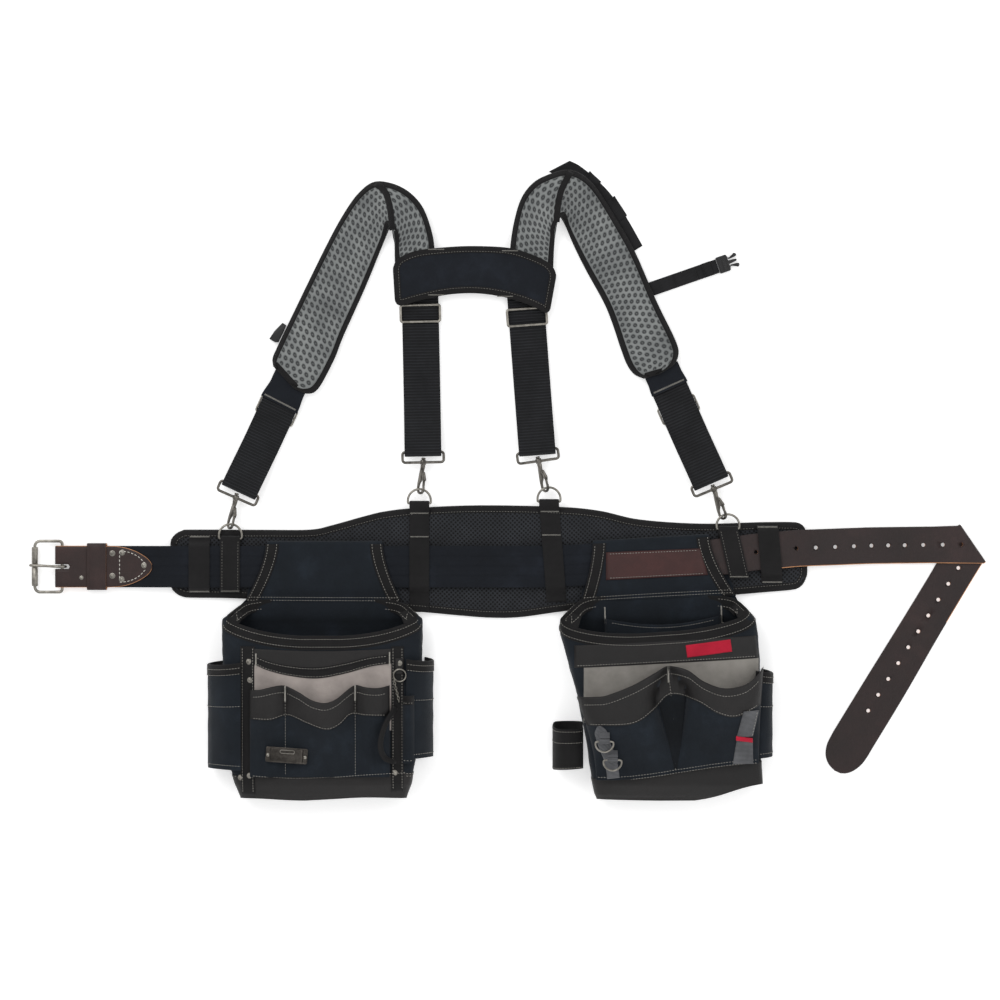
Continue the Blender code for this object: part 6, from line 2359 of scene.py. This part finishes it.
def make_grey_ribbon(body, ground):
    """Grey tape with a red stripe, sewn down the right front pocket in two overlapping lengths."""
    upper = [Vector((0.3245, y, 0)) for y in np.linspace(-0.317, -0.353, 14)]
    left = [Vector((0.319 - 0.009 * k / 13, p.y, 0)) for k, p in enumerate(upper)]
    right = [Vector((0.3415 - 0.0085 * k / 13, p.y + 0.001, 0)) for k, p in enumerate(upper)]
    first = laid("ribbon_upper", ground, left, right, GREY_TAPE, body, thick=0.0026, inner=6)
    left = [Vector((0.3105 - 0.0045 * k / 13, -0.357 - 0.033 * k / 13, 0)) for k in range(14)]
    right = [Vector((0.333 + 0.001 * k / 13, -0.357 - 0.033 * k / 13, 0)) for k in range(14)]
    laid("ribbon_lower", ground, left, right, GREY_TAPE, body, thick=0.002, inner=6)
    left = [Vector((0.3095, -0.351 - 0.0065 * k / 6, 0)) for k in range(7)]
    right = [Vector((0.3328, -0.3545 - 0.0065 * k / 6, 0)) for k in range(7)]
    laid("ribbon_red_stripe", ground, left, right, RED, body, thick=0.003, inner=4)
    over = Ground(first)
    sew_on(over, body, [(0.3385, -0.319), (0.3315, -0.352)])


def make_hammer_loop(body):
    """Stiff tape standing out as a ring from the pouch's left side."""
    low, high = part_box("hammer_loop")
    centre = Vector((0.083, 0, 0.023))
    left, right = [], []
    for degree in np.linspace(25, 335, 70):
        angle = math.radians(degree)
        x = centre.x + 0.0215 * math.cos(angle)
        z = centre.z + 0.02 * math.sin(angle)
        forward = ease((z - 0.01) / 0.03)
        left.append(Vector((x, low.y - 0.0012 + 0.002 * (x - 0.06) / 0.04, z)))
        right.append(Vector((x, high.y + 0.002 - 0.009 * forward, z)))
    loop = sheet_piece("hammer_loop_tape", left, right, LOOP_TAPE, body, 0.002, inner=20)
    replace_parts(loop, "hammer_loop")
    outward = []
    for i in range(len(left)):
        outward.append(Vector((left[i].x - centre.x, 0, left[i].z - centre.z)).normalized())
    for share in (0.04, 0.66, 0.94):
        line = [a.lerp(b, share) + out * 0.0013 for a, b, out in zip(left, right, outward)]
        sew(body, line[3:-3])


# Buckle and plastic parts
def make_buckle():
    """The wire frame, its roller and its tongue."""
    low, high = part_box("buckle_frame")
    wire = (high.z - low.z) / 2
    z = (low.z + high.z) / 2
    x0, x1, y0, y1 = low.x + wire, high.x - wire, low.y + wire, high.y - wire
    path = []
    for cx, cy, start, corner in (
        (x1, y1, 0, 0.004), (x0, y1, 90, 0.0072), (x0, y0, 180, 0.0072), (x1, y0, 270, 0.004)
    ):
        middle = Vector((cx - corner if cx == x1 else cx + corner, cy - corner if cy == y1 else cy + corner, z))
        for step in range(9):
            angle = math.radians(start + 90 * step / 8)
            path.append(middle + Vector((math.cos(angle), math.sin(angle), 0)) * corner)
    frame_wire = tube(
        "buckle_wire_frame", even([*path, path[0]], 150)[:-1], wire, NICKEL, "buckle_frame", sides=18
    )
    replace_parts(frame_wire, "buckle_frame")
    low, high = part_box("buckle_roller")
    radius, bore, half = (high.z - low.z) / 2, wire + 0.0004, (high.y - low.y) / 2
    profile = [
        (bore, -half), (radius - 0.0006, -half), (radius - 0.0001, -half + 0.0004), (radius, -half + 0.001),
        (radius, -0.0003), (radius - 0.00025, 0.0), (radius, 0.0003), (radius, half - 0.001),
        (radius - 0.0001, half - 0.0004), (radius - 0.0006, half), (bore, half),
    ]
    centre = (low + high) / 2
    shape = Shape().loft(turned_rings(centre, (0, 1, 0), profile, 40), loop=True)
    roller = shape.make("buckle_steel_roller", NICKEL, "buckle_roller", sharp=40)
    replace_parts(roller, "buckle_roller")
    low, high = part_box("buckle_tongue")
    pin = 0.0019
    ring = wire + 0.0007 + pin
    y, over = (low.y + high.y) / 2 - 0.001, high.z - pin
    path = []
    for step in range(15):
        angle = math.radians(-100 + 190 * step / 14)
        path.append(Vector((x1 + ring * math.cos(angle), y, z + ring * math.sin(angle))))
    tip = [
        (-0.628, 0.0003, z + 0.0052), (-0.64, 0.001, over - 0.0005), (-0.652, 0.0015, over),
        (-0.6605, 0.0019, over), (low.x + 0.0006, 0.002, over),
    ]
    path = even(smooth([*path[:-1], *[(px, y + dy, pz) for px, dy, pz in tip]], 4), 90)
    rings = tube_rings(path, pin, 16)
    for k, shrink in ((-1, 0.45), (-2, 0.8), (-3, 0.95), (0, 0.6), (1, 0.9)):
        rings[k] = [path[k] + (p - path[k]) * shrink for p in rings[k]]
    tongue = Shape().loft(rings).make("buckle_steel_tongue", NICKEL, "buckle_tongue")
    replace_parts(tongue, "buckle_tongue")


def make_side_release():
    """The plug with its guide and two springy prongs, and the socket's end on the left pad."""
    along = Vector((0.048, 0.0167, 0)).normalized()
    side = Vector((-along.y, along.x, 0))
    base = Vector((0.29, 0.2947, 0.0034)) + along * 0.0004

    def place(p):
        return base + along * p.x + side * p.y + Vector((0, 0, p.z))

    body = [
        (0.0, -0.0112), (0.001, -0.0116), (0.014, -0.0116), (0.0152, -0.0108), (0.0165, -0.006),
        (0.0155, -0.0036), (0.016, -0.0026), (0.024, -0.0018), (0.0268, -0.0014), (0.0275, 0.0),
        (0.0268, 0.0014), (0.024, 0.0018), (0.016, 0.0026), (0.0155, 0.0036), (0.0165, 0.006), (0.0152, 0.0108),
        (0.014, 0.0116), (0.001, 0.0116), (0.0, 0.0112),
    ]
    plug = Shape()
    filled(plug, cast_plate(body, 0.0052, place, 0.0008))
    for x in (0.002, 0.0068, 0.012):
        rib = [(x, -0.01), (x + 0.0022, -0.01), (x + 0.0022, 0.01), (x, 0.01)]
        filled(plug, cast_plate(rib, 0.0014, lambda p: place(p + Vector((0, 0, 0.0028))), 0.0005))
    piece = plug.make("side_release_plug", PLASTIC, "sternum_strap", sharp=50)
    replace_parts(piece, "sternum_plug")
    for name, sign in (("prong_upper", 1), ("prong_lower", -1)):
        prong = [
            (0.0168, 0.004), (0.0255, 0.0046), (0.0285, 0.0054), (0.0292, 0.0068), (0.0288, 0.0084),
            (0.0268, 0.01), (0.025, 0.0098), (0.024, 0.008), (0.0225, 0.0068), (0.0168, 0.0062),
        ]
        shape = Shape()
        filled(shape, cast_plate([(x, sign * y) for x, y in prong], 0.0032, place, 0.0006))
        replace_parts(shape.make(f"side_release_{name}", PLASTIC, name, sharp=50), name)
    tab = [
        (-0.3133, 0.2158), (-0.308, 0.2125), (-0.312, 0.203), (-0.319, 0.189), (-0.3238, 0.1888),
        (-0.3317, 0.1936), (-0.324, 0.205),
    ]
    shape = Shape()
    filled(shape, cast_plate(tab, 0.006, lambda p: p + Vector((0, 0, 0.0034)), 0.001))
    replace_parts(shape.make("side_release_socket_end", PLASTIC, "root", sharp=50), "sternum_socket")


pad, pad_binding = make_pad()
core = make_core()
make_outer_loops()
make_ring_loops()
make_tail()
make_buckle_end()
make_buckle()
make_keeper()
strips = [obj for obj in bpy.data.objects if obj.name.endswith(("_ring_strip", "_loop_tape"))]
sew_belt(Ground(pad, pad_binding, core, *strips))
make_suspenders()
make_shoulder_pads()
make_pad_straps()
make_yoke()
make_sternum()
make_side_release()
make_left_pouch()
make_right_pouch()


def dress_hardware():
    """Every node of the model that is still shown takes a full material in place of its plain one."""
    looks = {
        "hardware": NICKEL, "plastic": PLASTIC, "webbing": WEB, "pouch_fabric": CLOTH, "binding": LOOP_TAPE
    }
    looks |= {"spacer_mesh": GREY_NET, "pad_fabric": PAD_CLOTH, "strap_leather": STRAP, "tab_leather": TAB}
    slots = {part["node"]: part["material_slot"] for part in frame["record"]["subparts"]}
    for name, node in frame["nodes"].items():
        if node.hide_render:
            continue
        node.data.materials.clear()
        node.data.materials.append(looks[slots[name]].material)


# Camera, light and floor
def make_stage():
    """The white floor, the even sky and three soft lamps."""
    floor_z = CAD_BOX[0][2] - 0.0004
    bpy.ops.mesh.primitive_plane_add(size=12, location=(0, 0, floor_z))
    floor = bpy.context.object
    floor.name = "floor"
    paper = bpy.data.materials.new("floor_paper")
    paper.use_nodes = True
    shader = paper.node_tree.nodes["Principled BSDF"]
    shader.inputs["Base Color"].default_value = (0.9, 0.9, 0.9, 1)
    shader.inputs["Roughness"].default_value = 0.9
    shader.inputs["Emission Color"].default_value = (1, 1, 1, 1)
    shader.inputs["Emission Strength"].default_value = 0.42
    floor.data.materials.append(paper)
    world = bpy.data.worlds.new("studio")
    bpy.context.scene.world = world
    world.use_nodes = True
    background = world.node_tree.nodes["Background"]
    background.inputs["Color"].default_value = (1, 1, 1, 1)
    background.inputs["Strength"].default_value = 0.6
    bpy.context.scene.view_settings.view_transform = "Standard"
    for name, place, size, power in (
        ("key", (-1.3, 1.3, 2.2), 1.6, 25.0), ("fill", (1.6, 0.3, 2.0), 1.8, 11.0),
        ("rim", (0.2, -2.0, 1.5), 1.4, 8.0),
    ):
        lamp = bpy.data.lights.new(name, "AREA")
        lamp.size = size
        lamp.energy = power
        holder = bpy.data.objects.new(name, lamp)
        holder.location = place
        holder.rotation_euler = (Vector((0, 0, 0)) - Vector(place)).to_track_quat("-Z", "Y").to_euler()
        bpy.context.scene.collection.objects.link(holder)


def make_camera():
    """Straight down on the laid-out belt, from far enough for a natural view of it."""
    lens, sensor, view_width = 100.0, 36.0, 1.388
    camera = bpy.data.cameras.new("camera")
    camera.lens = lens
    camera.sensor_width = sensor
    holder = bpy.data.objects.new("camera", camera)
    holder.location = (-0.0118, -0.0298, view_width * lens / sensor)
    bpy.context.scene.collection.objects.link(holder)
    bpy.context.scene.camera = holder


make_stage()
make_camera()
make_thread()
make_rivets()
dress_hardware()
